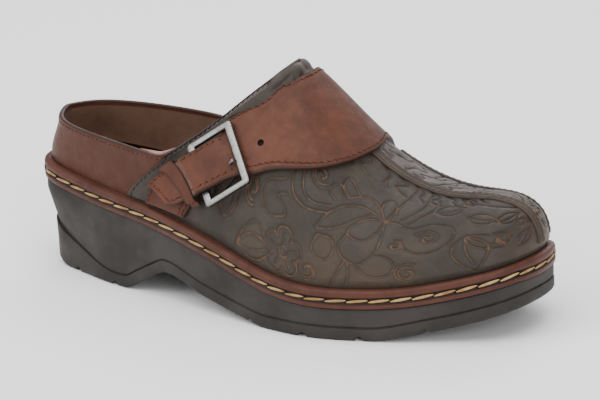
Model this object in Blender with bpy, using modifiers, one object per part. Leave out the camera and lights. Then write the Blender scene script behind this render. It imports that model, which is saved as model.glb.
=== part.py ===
"""A woman's leather clog for the right foot, as a shoemaker's assembly of separate pieces.

The toe points along +X, the inner (medial) side is +Y, and the sole stands on Z = 0.
Lengths along the shoe start at the back of the heel and run to the toe.
"""

import math

import bmesh
import bpy
import numpy as np
from mathutils import Vector

MM = 0.001
LATERAL = -1
MEDIAL = 1

# Driving sizes of the last, the form that the upper is pulled over
LAST_LENGTH = 256 * MM
BALL_WIDTH = 91 * MM
HEEL_SEAT_HEIGHT = 40 * MM
BALL_SEAT_HEIGHT = 15 * MM
TOE_SEAT_HEIGHT = 27 * MM
THROAT_HEIGHT = 110.5 * MM
TOE_BOX_HEIGHT = 58 * MM
TOPLINE_HEIGHT = 71 * MM

# Sizes of each layer
UPPER_WALL = 2.2 * MM
VAMP_STEP = 1.2 * MM
WELT_WIDTH = 4.0 * MM
WELT_RISE = 9.2 * MM
INSOLE_THICKNESS = 4.5 * MM
FIT_GAP = 0.3 * MM

# Sizes of the sole
ARCH_LIFT = 13.5 * MM
TOE_SPRING = 16.5 * MM
HEEL_BEVEL = 12 * MM
TREAD_LAYER = 6.0 * MM
HEEL_LIP_HEIGHT = 19 * MM
LEDGE_STEP = 1.0 * MM
HEEL_TUCK = 4.5 * MM
HEEL_FADE = 0.20
TREAD_EDGE = 1.2 * MM
SOLE_EDGE = WELT_WIDTH - 1.0 * MM
GROOVE_WIDTH = 3.0 * MM
GROOVE_DEPTH = 1.8 * MM

# Sizes of the strap, its buckle and the raised seams
STRAP_THICKNESS = 2.2 * MM
STRAP_SEAT = 0.45 * MM
ANCHOR_THICKNESS = 1.6 * MM
KEEPER_THICKNESS = 1.3 * MM
STRAP_HOLE_RADIUS = 1.6 * MM
BUCKLE_LENGTH = 26.0 * MM
BUCKLE_SPAN = 32.8 * MM
BUCKLE_BAR_WIDTH = 3.2 * MM
BUCKLE_BAR_HEIGHT = 2.4 * MM
BUCKLE_CORNER = 2.0 * MM
PRONG_RADIUS = 0.9 * MM
PRONG_ACROSS = 3.3 * MM
SEAM_WIDTH = 6.0 * MM
SEAM_HEIGHT = 1.1 * MM

# Two vertices closer than this are one
WELD = 0.001 * MM

# Plan outline where the upper meets the welt: shares of last length and ball width, medial is positive
OUTLINE = (
    ("toe tip", 0.996, 0.11),
    ("outer toe", 0.974, -0.166),
    ("outer toe corner", 0.876, -0.338),
    ("little toe", 0.769, -0.466),
    ("outer ball", 0.641, -0.555),
    ("outer waist", 0.448, -0.482),
    ("outer heel front", 0.280, -0.385),
    ("outer heel", 0.133, -0.300),
    ("outer heel turn", 0.022, -0.205),
    ("heel back", 0.000, -0.010),
    ("inner heel turn", 0.030, 0.205),
    ("inner heel", 0.132, 0.318),
    ("inner heel front", 0.280, 0.335),
    ("inner waist", 0.450, 0.328),
    ("behind inner ball", 0.600, 0.415),
    ("inner ball", 0.722, 0.468),
    ("big toe", 0.848, 0.441),
    ("big toe corner", 0.960, 0.328),
)

# Height of the sole's upper face along the shoe
BED = (
    ("heel back", 0.00, HEEL_SEAT_HEIGHT * 1.09),
    ("heel seat", 0.14, HEEL_SEAT_HEIGHT * 0.95),
    ("heel front", 0.28, HEEL_SEAT_HEIGHT * 0.86),
    ("waist", 0.44, HEEL_SEAT_HEIGHT * 0.67),
    ("behind ball", 0.58, BALL_SEAT_HEIGHT * 1.17),
    ("ball", 0.70, BALL_SEAT_HEIGHT),
    ("toes", 0.84, BALL_SEAT_HEIGHT + (TOE_SEAT_HEIGHT - BALL_SEAT_HEIGHT) * 0.19),
    ("toe tip", 1.00, TOE_SEAT_HEIGHT),
)

# Height of the tread's lower face along the shoe
TREAD = (
    ("heel back", -0.03, HEEL_BEVEL),
    ("heel bevel", 0.00, HEEL_BEVEL * 0.28),
    ("heel rest starts", 0.05, 0.0),
    ("heel rest ends", 0.215, 0.0),
    ("breast", 0.25, ARCH_LIFT * 0.32),
    ("arch rise", 0.285, ARCH_LIFT * 0.68),
    ("arch top", 0.325, ARCH_LIFT),
    ("arch run", 0.42, ARCH_LIFT * 0.55),
    ("behind ball", 0.52, ARCH_LIFT * 0.15),
    ("ball rest starts", 0.57, 0.0),
    ("ball rest ends", 0.76, 0.0),
    ("toes lift", 0.88, TOE_SPRING * 0.35),
    ("toe tip", 1.03, TOE_SPRING),
)

# Grooves across the tread, as shares of the last's length
TREAD_GROOVES = (
    ("heel back", 0.084),
    ("heel front", 0.191),
    ("ball back", 0.533),
    ("ball", 0.652),
    ("toes back", 0.754),
    ("toes", 0.864),
)

# Section of the welt: shares of its width outwards and of its rise upwards
WELT_SECTION = (
    ("inner foot", 0.00, 0.00),
    ("outer foot", 0.80, 0.00),
    ("lower face", 1.00, 0.10),
    ("groove's lower lip", 1.00, 0.26),
    ("groove foot", 0.82, 0.33),
    ("groove top", 0.82, 0.56),
    ("groove's upper lip", 0.98, 0.64),
    ("upper face", 0.88, 0.86),
    ("upper edge", 0.60, 0.98),
    ("inner edge", 0.00, 1.00),
)

# Side profile of the vamp's ridge, as shares of its climb from toe box to throat
THROAT_ALONG = 0.515
TOE_RIDGE_ALONG = 0.885
CLIMB = THROAT_HEIGHT - TOE_BOX_HEIGHT
RIDGE_PROFILE = (
    ("throat", THROAT_ALONG, THROAT_HEIGHT),
    ("instep", 0.60, TOE_BOX_HEIGHT + CLIMB * 0.65),
    ("vamp", 0.68, TOE_BOX_HEIGHT + CLIMB * 0.31),
    ("ball", 0.76, TOE_BOX_HEIGHT + CLIMB * 0.07),
    ("toe box", 0.83, TOE_BOX_HEIGHT - CLIMB * 0.01),
    ("toe box front", TOE_RIDGE_ALONG, TOE_BOX_HEIGHT + CLIMB * 0.01),
)

# Columns of the upper rise from the welt. share runs from toe tip to heel back along each side of the welt.
THROAT_SHARE = 0.52
VAMP_EDGE_SHARE = 0.73
VAMP_EDGE_HALF = 0.0015
VAMP_FADE = 0.06
THROAT_FADE = 0.12
RIDGE_RUN = (
    ("toe tip", 0.00, TOE_RIDGE_ALONG, 0.086),
    ("toe corner", 0.10, 0.862, 0.081),
    ("toes", 0.20, 0.800, 0.076),
    ("ball", 0.30, 0.720, 0.068),
    ("vamp", 0.40, 0.630, 0.062),
    ("throat", THROAT_SHARE, THROAT_ALONG, 0.054),
)

# Behind the throat a column turns forward as it nears the topline: share, degrees away from its plain way up
THROAT_SWING = (
    ("vamp", 0.00, 0.0),
    ("before throat", 0.455, 0.0),
    ("throat", THROAT_SHARE, 30.0),
    ("throat side", 0.56, 46.0),
    ("behind throat", 0.61, 36.0),
    ("facing", 0.68, 0.0),
    ("heel back", 1.00, 0.0),
)

# The topline behind the throat on each side: share, along, lateral across, medial across, height
TOPLINE = (
    ("throat", THROAT_SHARE, THROAT_ALONG, 0.054, 0.054, THROAT_HEIGHT),
    ("throat side", 0.57, 0.497, -0.10, 0.135, TOPLINE_HEIGHT + 34.5 * MM),
    ("facing", 0.66, 0.415, -0.268, 0.29, TOPLINE_HEIGHT + 16 * MM),
    ("vamp edge", VAMP_EDGE_SHARE, 0.331, -0.346, 0.34, TOPLINE_HEIGHT),
    ("quarter", 0.84, 0.240, -0.352, 0.36, TOPLINE_HEIGHT * 0.965),
    ("heel side", 0.93, 0.055, -0.225, 0.225, TOPLINE_HEIGHT * 1.01),
    ("heel back", 1.00, 0.004, -0.01, -0.01, TOPLINE_HEIGHT * 1.035),
)

# The instep strap from the inner welt to its end: run, share and wrap of its back edge and its
# front edge on the vamp, and its lift above the vamp
STRAP = (
    ("inner welt", 0.00, 0.515, -0.97, 0.365, -0.97, STRAP_SEAT),
    ("inner side", 0.12, 0.508, -0.60, 0.372, -0.60, STRAP_SEAT),
    ("inner instep", 0.22, 0.499, -0.25, 0.364, -0.28, STRAP_SEAT),
    ("ridge", 0.30, 0.497, 0.00, 0.346, 0.02, STRAP_SEAT),
    ("instep", 0.37, 0.515, 0.195, 0.357, 0.20, STRAP_SEAT + 0.3 * MM),
    ("outer instep", 0.44, 0.537, 0.243, 0.392, 0.395, STRAP_SEAT + 0.4 * MM),
    ("below instep", 0.52, 0.568, 0.250, 0.437, 0.522, STRAP_SEAT + 0.2 * MM),
    ("before buckle", 0.60, 0.604, 0.217, 0.490, 0.622, STRAP_SEAT),
    ("under front bar", 0.665, 0.624, 0.214, 0.520, 0.672, STRAP_SEAT),
    ("shoulder", 0.680, 0.628, 0.216, 0.524, 0.678, STRAP_SEAT),
    ("neck", 0.692, 0.606, 0.416, 0.535, 0.672, STRAP_SEAT + 0.1 * MM),
    ("rising", 0.712, 0.609, 0.428, 0.543, 0.690, STRAP_SEAT + 3.0 * MM),
    ("over prong", 0.735, 0.616, 0.447, 0.553, 0.706, STRAP_SEAT + 4.3 * MM),
    ("in buckle", 0.785, 0.632, 0.490, 0.569, 0.740, STRAP_SEAT + 4.9 * MM),
    ("over back bar", 0.840, 0.650, 0.532, 0.586, 0.778, STRAP_SEAT + 6.2 * MM),
    ("past back bar", 0.858, 0.662, 0.520, 0.592, 0.788, STRAP_SEAT + 4.2 * MM),
    ("before keeper", 0.877, 0.680, 0.484, 0.599, 0.797, FIT_GAP * 2 + ANCHOR_THICKNESS),
    ("in keeper", 0.910, 0.692, 0.510, 0.606, 0.810, FIT_GAP * 2 + ANCHOR_THICKNESS),
    ("past keeper", 0.940, 0.698, 0.565, 0.616, 0.830, FIT_GAP * 2 + ANCHOR_THICKNESS),
    ("end side", 0.975, 0.709, 0.645, 0.634, 0.872, FIT_GAP * 2 + ANCHOR_THICKNESS),
    ("end", 1.00, 0.712, 0.705, 0.652, 0.888, FIT_GAP * 2 + ANCHOR_THICKNESS),
)
STRAP_HOLE_RUN = 0.598
STRAP_HOLE_ACROSS = 0.76

# The strap lies beneath the frame between the first two runs. Past them it keeps these clearances
# from the side bars and along itself from the back bar, then falls by this much per length
WIDE_STRAP_RUN = 0.60
SHOULDER_RUN = 0.693
STRAP_DESCENT = 2.2
STRAP_SIDE_GAP = 2.2 * MM
STRAP_END_GAP = 0.9 * MM

# The buckle's front and back bars: where each crosses the strap, where its middle lies across
# it, and how far it stands above the vamp
FRONT_BAR = (0.662, 0.76, STRAP_SEAT + FIT_GAP + STRAP_THICKNESS + 0.4 * MM)
BACK_BAR = (0.838, 0.64, FIT_GAP * 2 + ANCHOR_THICKNESS + 0.3 * MM)

# The patch that carries the buckle, from the back bar down to the welt: columns as for the strap
ANCHOR = (
    ("under back bar", 0.00, 0.660, 0.425, 0.584, 0.735, FIT_GAP),
    ("under keeper", 0.35, 0.686, 0.540, 0.604, 0.805, FIT_GAP),
    ("below keeper", 0.62, 0.705, 0.690, 0.610, 0.860, FIT_GAP),
    ("above welt", 1.00, 0.707, 0.950, 0.622, 0.950, FIT_GAP),
)

# The keeper bridges the strap: shares of the way across it, past its edges, and the lift there
KEEPER_RUN = 0.912
KEEPER_WIDTH_RUN = 0.038
KEEPER_TOP = FIT_GAP * 3.5 + ANCHOR_THICKNESS + STRAP_THICKNESS
KEEPER = (
    ("back foot", -0.15, FIT_GAP),
    ("back leg", -0.075, KEEPER_TOP * 0.55),
    ("back shoulder", -0.03, KEEPER_TOP),
    ("back", 0.10, KEEPER_TOP),
    ("back middle", 0.30, KEEPER_TOP),
    ("middle", 0.50, KEEPER_TOP),
    ("front middle", 0.70, KEEPER_TOP),
    ("front", 0.90, KEEPER_TOP),
    ("front shoulder", 1.03, KEEPER_TOP),
    ("front leg", 1.075, KEEPER_TOP * 0.55),
    ("front foot", 1.13, FIT_GAP * 2 + ANCHOR_THICKNESS),
)

# Plan lines of the two raised seams: along, outer seam across, inner seam across
SEAMS = (
    ("strap", 0.660, -0.002, 0.285),
    ("instep", 0.730, 0.008, 0.290),
    ("ball", 0.780, 0.024, 0.300),
    ("toe box", 0.850, 0.033, 0.305),
    ("toes", 0.920, 0.055, 0.312),
    ("toe bend", 0.965, 0.095, 0.325),
    ("past toe", 1.050, 0.100, 0.335),
)
SEAM_STARTS = {"seam_lateral": 0.338, "seam_medial": 0.334}
SEAM_END_HEIGHT = 0.08

# How each column rises: belly is the upright part of its rise, flare how far it leans out,
# crown the level part at its top, and turn how steeply it arrives there, in degrees
RISE = (
    ("toe tip", 0.00, 0.81, 0.025, 0.66, 4.0),
    ("toes", 0.15, 0.76, 0.038, 0.65, 2.0),
    ("ball", 0.30, 0.55, 0.030, 0.50, 0.0),
    ("vamp", 0.42, 0.53, 0.024, 0.47, 0.0),
    ("throat", THROAT_SHARE, 0.46, 0.008, 0.40, 0.0),
    ("throat side", 0.57, 0.46, 0.010, 0.37, 24.0),
    ("facing", 0.66, 0.40, 0.010, 0.34, 55.0),
    ("vamp edge", VAMP_EDGE_SHARE, 0.31, 0.000, 0.22, 78.0),
    ("quarter", 0.86, 0.36, 0.045, 0.29, 86.0),
    ("heel back", 1.00, 0.37, 0.065, 0.29, 84.0),
)


def fair_curve(places, values):
    """A natural cubic spline through a table's values, as a function of place."""
    x = np.asarray(places, float)
    y = np.asarray(values, float)
    n = len(x)
    step = np.diff(x)
    slope = np.diff(y) / step
    matrix = np.eye(n)
    right = np.zeros(n)
    for i in range(1, n - 1):
        matrix[i, i - 1 : i + 2] = step[i - 1], 2 * (step[i - 1] + step[i]), step[i]
        right[i] = 6 * (slope[i] - slope[i - 1])
    bend = np.linalg.solve(matrix, right)

    def value(at):
        at = np.clip(at, x[0], x[-1])
        i = np.clip(np.searchsorted(x, at) - 1, 0, n - 2)
        a = (x[i + 1] - at) / step[i]
        b = 1 - a
        curl = ((a**3 - a) * bend[i] + (b**3 - b) * bend[i + 1]) * step[i] ** 2 / 6
        return a * y[i] + b * y[i + 1] + curl

    return value


def tight_curve(places, values):
    """A cubic through a table's values that never overshoots them, so flats stay flat."""
    x = np.asarray(places, float)
    y = np.asarray(values, float)
    step = np.diff(x)
    slope = np.diff(y) / step
    lean = np.zeros(len(x))
    for i in range(1, len(x) - 1):
        if slope[i - 1] * slope[i] > 0:
            before = 2 * step[i] + step[i - 1]
            after = step[i] + 2 * step[i - 1]
            lean[i] = (before + after) / (before / slope[i - 1] + after / slope[i])
    lean[0], lean[-1] = slope[0], slope[-1]

    def value(at):
        at = np.clip(at, x[0], x[-1])
        i = np.clip(np.searchsorted(x, at) - 1, 0, len(x) - 2)
        s = (at - x[i]) / step[i]
        rise = s * s * (3 - 2 * s)
        start = s * (1 - s) ** 2 * step[i] * lean[i]
        end = s * s * (s - 1) * step[i] * lean[i + 1]
        return y[i] + (y[i + 1] - y[i]) * rise + start + end

    return value


def column_of(table, index):
    return [row[index] for row in table]


def closed_outline(samples=24):
    """The plan outline as a closed Catmull-Rom curve, and the sample where the heel's back lies."""
    corners = np.array([(row[1] * LAST_LENGTH, row[2] * BALL_WIDTH) for row in OUTLINE])
    s = (np.arange(samples) / samples)[:, None]
    before, here, after, later = (np.roll(corners, -k, axis=0)[:, None] for k in (-1, 0, 1, 2))
    points = 0.5 * (
        2 * here
        + (after - before) * s
        + (2 * before - 5 * here + 4 * after - later) * s**2
        + (3 * here - before - 3 * after + later) * s**3
    )
    return points.reshape(-1, 2), column_of(OUTLINE, 0).index("heel back") * samples


def side_table(side):
    """One side of the outline from toe tip to heel back: shares of its run, points and outward normals."""
    points, heel = closed_outline()
    ahead = np.roll(points, -1, axis=0) - np.roll(points, 1, axis=0)
    normals = np.stack([-ahead[:, 1], ahead[:, 0]], axis=1)
    normals /= np.linalg.norm(normals, axis=1)[:, None]
    if ((points - points.mean(axis=0)) * normals).sum() < 0:
        normals = -normals
    if side == LATERAL:
        picked = np.arange(0, heel + 1)
    else:
        picked = np.concatenate([[0], np.arange(len(points) - 1, heel - 1, -1)])
    run = points[picked]
    reach = np.concatenate([[0], np.cumsum(np.linalg.norm(np.diff(run, axis=0), axis=1))])
    return reach / reach[-1], run, normals[picked]


SIDES = {side: side_table(side) for side in (LATERAL, MEDIAL)}


def along_shoe(table, curve):
    return curve([s * LAST_LENGTH for s in column_of(table, 1)], column_of(table, 2))


bed_height = along_shoe(BED, fair_curve)
tread_height = along_shoe(TREAD, tight_curve)
ridge_height = along_shoe(RIDGE_PROFILE, fair_curve)
ridge_run = [fair_curve(column_of(RIDGE_RUN, 1), column_of(RIDGE_RUN, k)) for k in (2, 3)]
topline = {
    side: [fair_curve(column_of(TOPLINE, 1), column_of(TOPLINE, k)) for k in (2, across, 5)]
    for side, across in ((LATERAL, 3), (MEDIAL, 4))
}
rise = [fair_curve(column_of(RISE, 1), column_of(RISE, k)) for k in (2, 3, 4, 5)]
throat_swing = tight_curve(column_of(THROAT_SWING, 1), column_of(THROAT_SWING, 2))


def welt_line(side, share, out=0.0):
    """A point of the outline where upper and welt meet, moved out by a length, and its outward normal."""
    shares, run, normals = SIDES[side]
    point = np.array([np.interp(share, shares, run[:, k]) for k in (0, 1)])
    normal = np.array([np.interp(share, shares, normals[:, k]) for k in (0, 1)])
    normal /= np.linalg.norm(normal)
    return point + normal * out, normal


def column_top(side, share):
    """Where a column of the upper ends: on the ridge of the vamp, or on the topline behind the throat."""
    if share <= THROAT_SHARE:
        along, across = (curve(share) for curve in ridge_run)
        height = ridge_height(along * LAST_LENGTH)
    else:
        along, across, height = (curve(share) for curve in topline[side])
    return np.array([along * LAST_LENGTH, across * BALL_WIDTH, height])


def ridge_slope(share):
    """Fall of the ridge per length along the shoe, fading out behind the throat."""
    along = ridge_run[0](min(share, THROAT_SHARE)) * LAST_LENGTH
    step = 2 * MM
    fading = min(max(1 - (share - THROAT_SHARE) / THROAT_FADE, 0.0), 1.0)
    return fading * (ridge_height(along + step) - ridge_height(along - step)) / (2 * step)


def column_poles(side, share):
    """The four poles of a column's curve, from the top of the welt to the ridge or topline."""
    foot_xy, normal = welt_line(side, share)
    foot = np.array([*foot_xy, bed_height(foot_xy[0]) + WELT_RISE])
    top = column_top(side, share)
    belly, flare, crown, turn = (float(curve(share)) for curve in rise)
    tall = top[2] - foot[2]
    lower = foot + np.array([0, 0, tall * belly]) + np.array([*normal, 0]) * tall * flare
    swing = math.radians(throat_swing(share)) * -side
    x, y = foot[:2] - top[:2]
    level = np.array([x * math.cos(swing) - y * math.sin(swing), x * math.sin(swing) + y * math.cos(swing), 0.0])
    level[2] = ridge_slope(share) * level[0]
    turn = math.radians(turn)
    upper = top + level * crown * math.cos(turn) - np.array([0, 0, tall * crown]) * math.sin(turn)
    return foot, lower, upper, top


def upper_point(side, share, height):
    """A point of the upper's outer face: height is 0 at the welt and 1 at the ridge or topline."""
    poles = column_poles(side, share)
    t = height
    weights = ((1 - t) ** 3, 3 * t * (1 - t) ** 2, 3 * t * t * (1 - t), t**3)
    return sum(w * p for w, p in zip(weights, poles))


def round_the_end(side, share, height):
    """A point of the outer face whose share may run past the toe tip or the heel's back to the other side."""
    if share < 0.0:
        return upper_point(-side, -share, height)
    if share > 1.0:
        return upper_point(-side, 2.0 - share, height)
    return upper_point(side, share, height)


def upper_normal(side, share, height):
    """The outward direction of the upper's outer face."""
    step = 0.004
    if share <= THROAT_SHARE and height > 1 - step / 4:
        normal = np.array([-ridge_slope(share), 0.0, 1.0])
        return normal / np.linalg.norm(normal)
    ahead = round_the_end(side, share + step, height)
    behind = round_the_end(side, share - step, height)
    above = upper_point(side, share, min(height + step, 1.0))
    below = upper_point(side, share, max(height - step, 0.0))
    normal = np.cross(ahead - behind, above - below) * side
    return normal / np.linalg.norm(normal)


def face_point(side, share, height, lift=0.0):
    """A point at a distance above the upper's plain outer face."""
    return upper_point(side, share, height) + upper_normal(side, share, height) * lift


def wrapped_point(share, wrap, lift=0.0):
    """A point above the vamp. wrap is 0 on the ridge, 1 at the outer welt and -1 at the inner welt."""
    side = LATERAL if wrap >= 0 else MEDIAL
    return face_point(side, share, 1 - abs(wrap), VAMP_STEP + lift)


def vamp_lift(share, height):
    """How far the vamp stands above the quarter: a step in the wall that fades out at the welt."""
    if share > VAMP_EDGE_SHARE:
        return 0.0
    return VAMP_STEP * min(height / VAMP_FADE, 1.0)


def leather(name, colour, roughness):
    return finish(name, colour, roughness, 0.0)


def finish(name, colour, roughness, metallic):
    material = bpy.data.materials.new(name)
    material.use_nodes = True
    shader = material.node_tree.nodes["Principled BSDF"]
    shader.inputs["Base Color"].default_value = (*colour, 1.0)
    shader.inputs["Roughness"].default_value = roughness
    shader.inputs["Metallic"].default_value = metallic
    return material


def add_object(name, mesh, collection, material=None):
    piece = bpy.data.objects.new(name, mesh)
    collection.objects.link(piece)
    if material:
        mesh.materials.append(material)
        mesh.shade_smooth()
        mesh.set_sharp_from_angle(angle=math.radians(40))
    return piece


def add_row_faces(shape, row, following, closed):
    """Quads between two rows of vertices."""
    count = len(row)
    for i in range(count if closed else count - 1):
        k = (i + 1) % count
        shape.faces.new((row[i], row[k], following[k], following[i]))


def loft(rows, closed=False, joined=False):
    """A new bmesh through rows of points. closed makes each row a loop, joined links the last row to the first."""
    shape = bmesh.new()
    lines = [[shape.verts.new(point) for point in row] for row in rows]
    for row, following in zip(lines, lines[1:]):
        add_row_faces(shape, row, following, closed)
    if joined:
        add_row_faces(shape, lines[-1], lines[0], closed)
    return shape, lines


def mesh_of(shape, name, seen_from_inside=None):
    """Finish a bmesh: weld it, turn its faces outwards and make it a mesh."""
    bmesh.ops.remove_doubles(shape, verts=shape.verts, dist=WELD)
    bmesh.ops.recalc_face_normals(shape, faces=shape.faces)
    if seen_from_inside is not None:
        inside = Vector(seen_from_inside)
        facing = sum(f.normal.dot((f.calc_center_median() - inside).normalized()) for f in shape.faces)
        if facing < 0:
            bmesh.ops.reverse_faces(shape, faces=shape.faces)
    mesh = bpy.data.meshes.new(name)
    shape.to_mesh(mesh)
    shape.free()
    return mesh


def shoe_middle():
    """A point inside the upper, from which its outer faces point away."""
    return np.array([LAST_LENGTH * 0.55, 0.0, WELT_RISE + HEEL_SEAT_HEIGHT])


def sole_shares():
    """Stations along each side, closer together where the heel's breast curves."""
    plain = np.linspace(0, 1, 37)
    breast = np.linspace(0.655, 0.775, 13)
    kept = [share for share in plain if not breast[0] - 0.01 < share < breast[-1] + 0.01]
    return sorted([*kept, *breast])


def heel_weight(along):
    """1 at the back of the heel, fading to 0 before the breast."""
    share = min(max(along / (LAST_LENGTH * HEEL_FADE), 0.0), 1.0)
    return 1 - share * share * (3 - 2 * share)


def sole_section(side, share):
    """Side profile of the sole at a station, from its upper edge to its tread."""
    edge, normal = welt_line(side, share, SOLE_EDGE)
    back = heel_weight(edge[0])
    top = bed_height(edge[0])
    tread = tread_height(edge[0])
    ledge = min(tread + TREAD_LAYER + back * (HEEL_LIP_HEIGHT - TREAD_LAYER), top - LEDGE_STEP * 4)
    tuck = HEEL_TUCK * back
    rows = (
        (0.0, top),
        (0.0, top - (top - ledge) * 0.25),
        (-tuck, ledge + LEDGE_STEP),
        (-tuck - LEDGE_STEP * 0.6, ledge + LEDGE_STEP * 0.3),
        (LEDGE_STEP * (0.2 + back) - tuck, ledge - LEDGE_STEP * 0.4),
        (LEDGE_STEP * 0.2 - tuck * 0.9, tread + TREAD_EDGE),
        (-TREAD_EDGE - tuck * 0.9, tread),
    )
    points = []
    for out, height in rows:
        spot = edge + normal * out
        points.append((spot[0], spot[1], height))
    points[-1] = (points[-1][0], points[-1][1], tread_height(points[-1][0]))
    return points


def add_sole(collection):
    """The moulded sole: rings round its side, closed by ladders of faces above and below."""
    shares = sole_shares()
    outer = [sole_section(LATERAL, share) for share in shares]
    inner = [sole_section(MEDIAL, share) for share in shares]
    loop = outer + inner[-2:0:-1]
    shape, lines = loft(loop, joined=True)
    last = len(shares) - 1
    for level in (0, -1):
        for i in range(last):
            left, right = (-i) % len(lines), (-i - 1) % len(lines)
            corners = [lines[i][level], lines[i + 1][level], lines[right][level], lines[left][level]]
            shape.faces.new(list(dict.fromkeys(corners)))
    mesh = mesh_of(shape, "sole")
    return add_object("sole", mesh, collection, leather("moulded_sole", (0.085, 0.078, 0.07), 0.6))


def cut_grooves(sole, cutters):
    """Grooves across the tread leave its lugs standing."""
    joined = bmesh.new()
    for _, along in TREAD_GROOVES:
        place = along * LAST_LENGTH
        box = bmesh.ops.create_cube(joined, size=1.0)["verts"]
        size = Vector((GROOVE_WIDTH, BALL_WIDTH * 1.6, GROOVE_DEPTH * 2))
        bmesh.ops.scale(joined, vec=size, verts=box)
        bmesh.ops.translate(joined, vec=Vector((place, 0, tread_height(place))), verts=box)
    mesh = bpy.data.meshes.new("tread_groove_cutter")
    joined.to_mesh(mesh)
    joined.free()
    add_cut(sole, add_object("tread_groove_cutter", mesh, cutters))


def add_cut(piece, cutter):
    cutter.hide_render = True
    cutter.display_type = "WIRE"
    cut = piece.modifiers.new("cut", "BOOLEAN")
    cut.operation = "DIFFERENCE"
    cut.object = cutter


def ring_stations(shares):
    """Stations all round the shoe: a side and a share for each."""
    return [(LATERAL, share) for share in shares] + [(MEDIAL, share) for share in shares[-2:0:-1]]


def add_welt(collection):
    """The welt's section swept round the outline, on the sole's upper edge."""
    rows = []
    for side, share in ring_stations(upper_shares()):
        row = []
        for _, out, height in WELT_SECTION:
            spot, _ = welt_line(side, share, FIT_GAP + out * (WELT_WIDTH - FIT_GAP))
            row.append((*spot, bed_height(spot[0]) + FIT_GAP + height * (WELT_RISE - FIT_GAP)))
        rows.append(row)
    shape, lines = loft(rows, closed=True, joined=True)
    mesh = mesh_of(shape, "welt")
    return add_object("welt", mesh, collection, leather("welt_leather", (0.16, 0.06, 0.035), 0.5))


def add_insole(collection):
    """The footbed, inside the upper's wall, with its upper edge rounded over."""
    shares = upper_shares()
    inset = UPPER_WALL + FIT_GAP * 2
    levels = (
        (inset, FIT_GAP),
        (inset, INSOLE_THICKNESS * 0.7),
        (inset + INSOLE_THICKNESS * 0.4, INSOLE_THICKNESS),
    )
    stations = []
    for side, share in ring_stations(shares):
        row = []
        for inwards, height in levels:
            spot, _ = welt_line(side, share, -inwards)
            row.append((*spot, bed_height(spot[0]) + height))
        stations.append(row)
    shape, lines = loft(stations, joined=True)
    for level in (0, -1):
        for i in range(len(shares) - 1):
            left, right = (-i) % len(lines), (-i - 1) % len(lines)
            corners = [lines[i][level], lines[i + 1][level], lines[right][level], lines[left][level]]
            shape.faces.new(list(dict.fromkeys(corners)))
    mesh = mesh_of(shape, "insole")
    return add_object("insole", mesh, collection, leather("insole_leather", (0.14, 0.08, 0.05), 0.7))


def upper_shares():
    """Columns of the upper, with a pair of them at the vamp's edge."""
    plain = [*np.linspace(0, THROAT_SHARE, 20), *np.linspace(THROAT_SHARE, 1, 20)[1:]]
    edge = (VAMP_EDGE_SHARE - VAMP_EDGE_HALF, VAMP_EDGE_SHARE + VAMP_EDGE_HALF)
    kept = [share for share in plain if abs(share - VAMP_EDGE_SHARE) > 3 * VAMP_EDGE_HALF]
    return sorted([*kept, *edge])


def add_upper(collection):
    """The hollow upper: an open outer face given a wall inwards. It is open at collar and underneath."""
    heights = [0.0, VAMP_FADE, *np.linspace(0, 1, 13)[2:]]
    shape = bmesh.new()
    walls = []
    for side in (LATERAL, MEDIAL):
        rows = []
        for share in upper_shares():
            foot, _ = welt_line(side, share)
            row = [shape.verts.new((*foot, bed_height(foot[0]) + FIT_GAP))]
            walls.append(UPPER_WALL)
            for height in heights:
                lift = vamp_lift(share, height)
                row.append(shape.verts.new(face_point(side, share, height, lift)))
                walls.append(UPPER_WALL + lift)
            rows.append(row)
        for row, following in zip(rows, rows[1:]):
            add_row_faces(shape, row, following, closed=False)
    layer = shape.verts.layers.deform.verify()
    for vert, wall in zip(shape.verts, walls):
        vert[layer][0] = wall / (UPPER_WALL + VAMP_STEP)
    mesh = mesh_of(shape, "upper", shoe_middle())
    piece = add_object("upper", mesh, collection, leather("vamp_leather", (0.075, 0.058, 0.04), 0.5))
    piece.vertex_groups.new(name="wall")
    wall = piece.modifiers.new("wall", "SOLIDIFY")
    wall.thickness = UPPER_WALL + VAMP_STEP
    wall.offset = -1
    wall.use_quality_normals = True
    wall.vertex_group = "wall"
    return piece


def strap_edges(table, runs):
    """The two edges of an overlay at each run along it, and its lift, read from a table of rows."""
    columns = [tight_curve(column_of(table, 1), column_of(table, k)) for k in range(2, 7)]
    return [[float(column(run)) for column in columns] for run in runs]


def between_edges(edges, across):
    """The share and wrap of a place across an overlay: 0 is its back edge and 1 its front edge."""
    back_share, back_wrap, front_share, front_wrap, _ = edges
    return back_share + (front_share - back_share) * across, back_wrap + (front_wrap - back_wrap) * across


def strap_spot(run, across):
    return between_edges(strap_edges(STRAP, [run])[0], across)


def overlay_rows(table, runs, across):
    """Rows of points for an overlay, from its back edge to its front edge at each run."""
    rows = []
    for edges in strap_edges(table, runs):
        rows.append([wrapped_point(*between_edges(edges, s), edges[-1]) for s in across])
    return rows


def add_overlay(name, rows, thickness, collection, material):
    """A strip of leather on the upper: an open surface of rows, given its thickness outwards."""
    shape, lines = loft(rows)
    mesh = mesh_of(shape, name, shoe_middle())
    piece = add_object(name, mesh, collection, material)
    wall = piece.modifiers.new("thickness", "SOLIDIFY")
    wall.thickness = thickness
    wall.offset = 1
    wall.use_even_offset = True
    return piece


def strap_runs():
    """Stations along the strap, closer together where it passes through the buckle."""
    return [*np.linspace(0, 0.60, 25), *np.linspace(0.60, 1.0, 31)[1:]]


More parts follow.
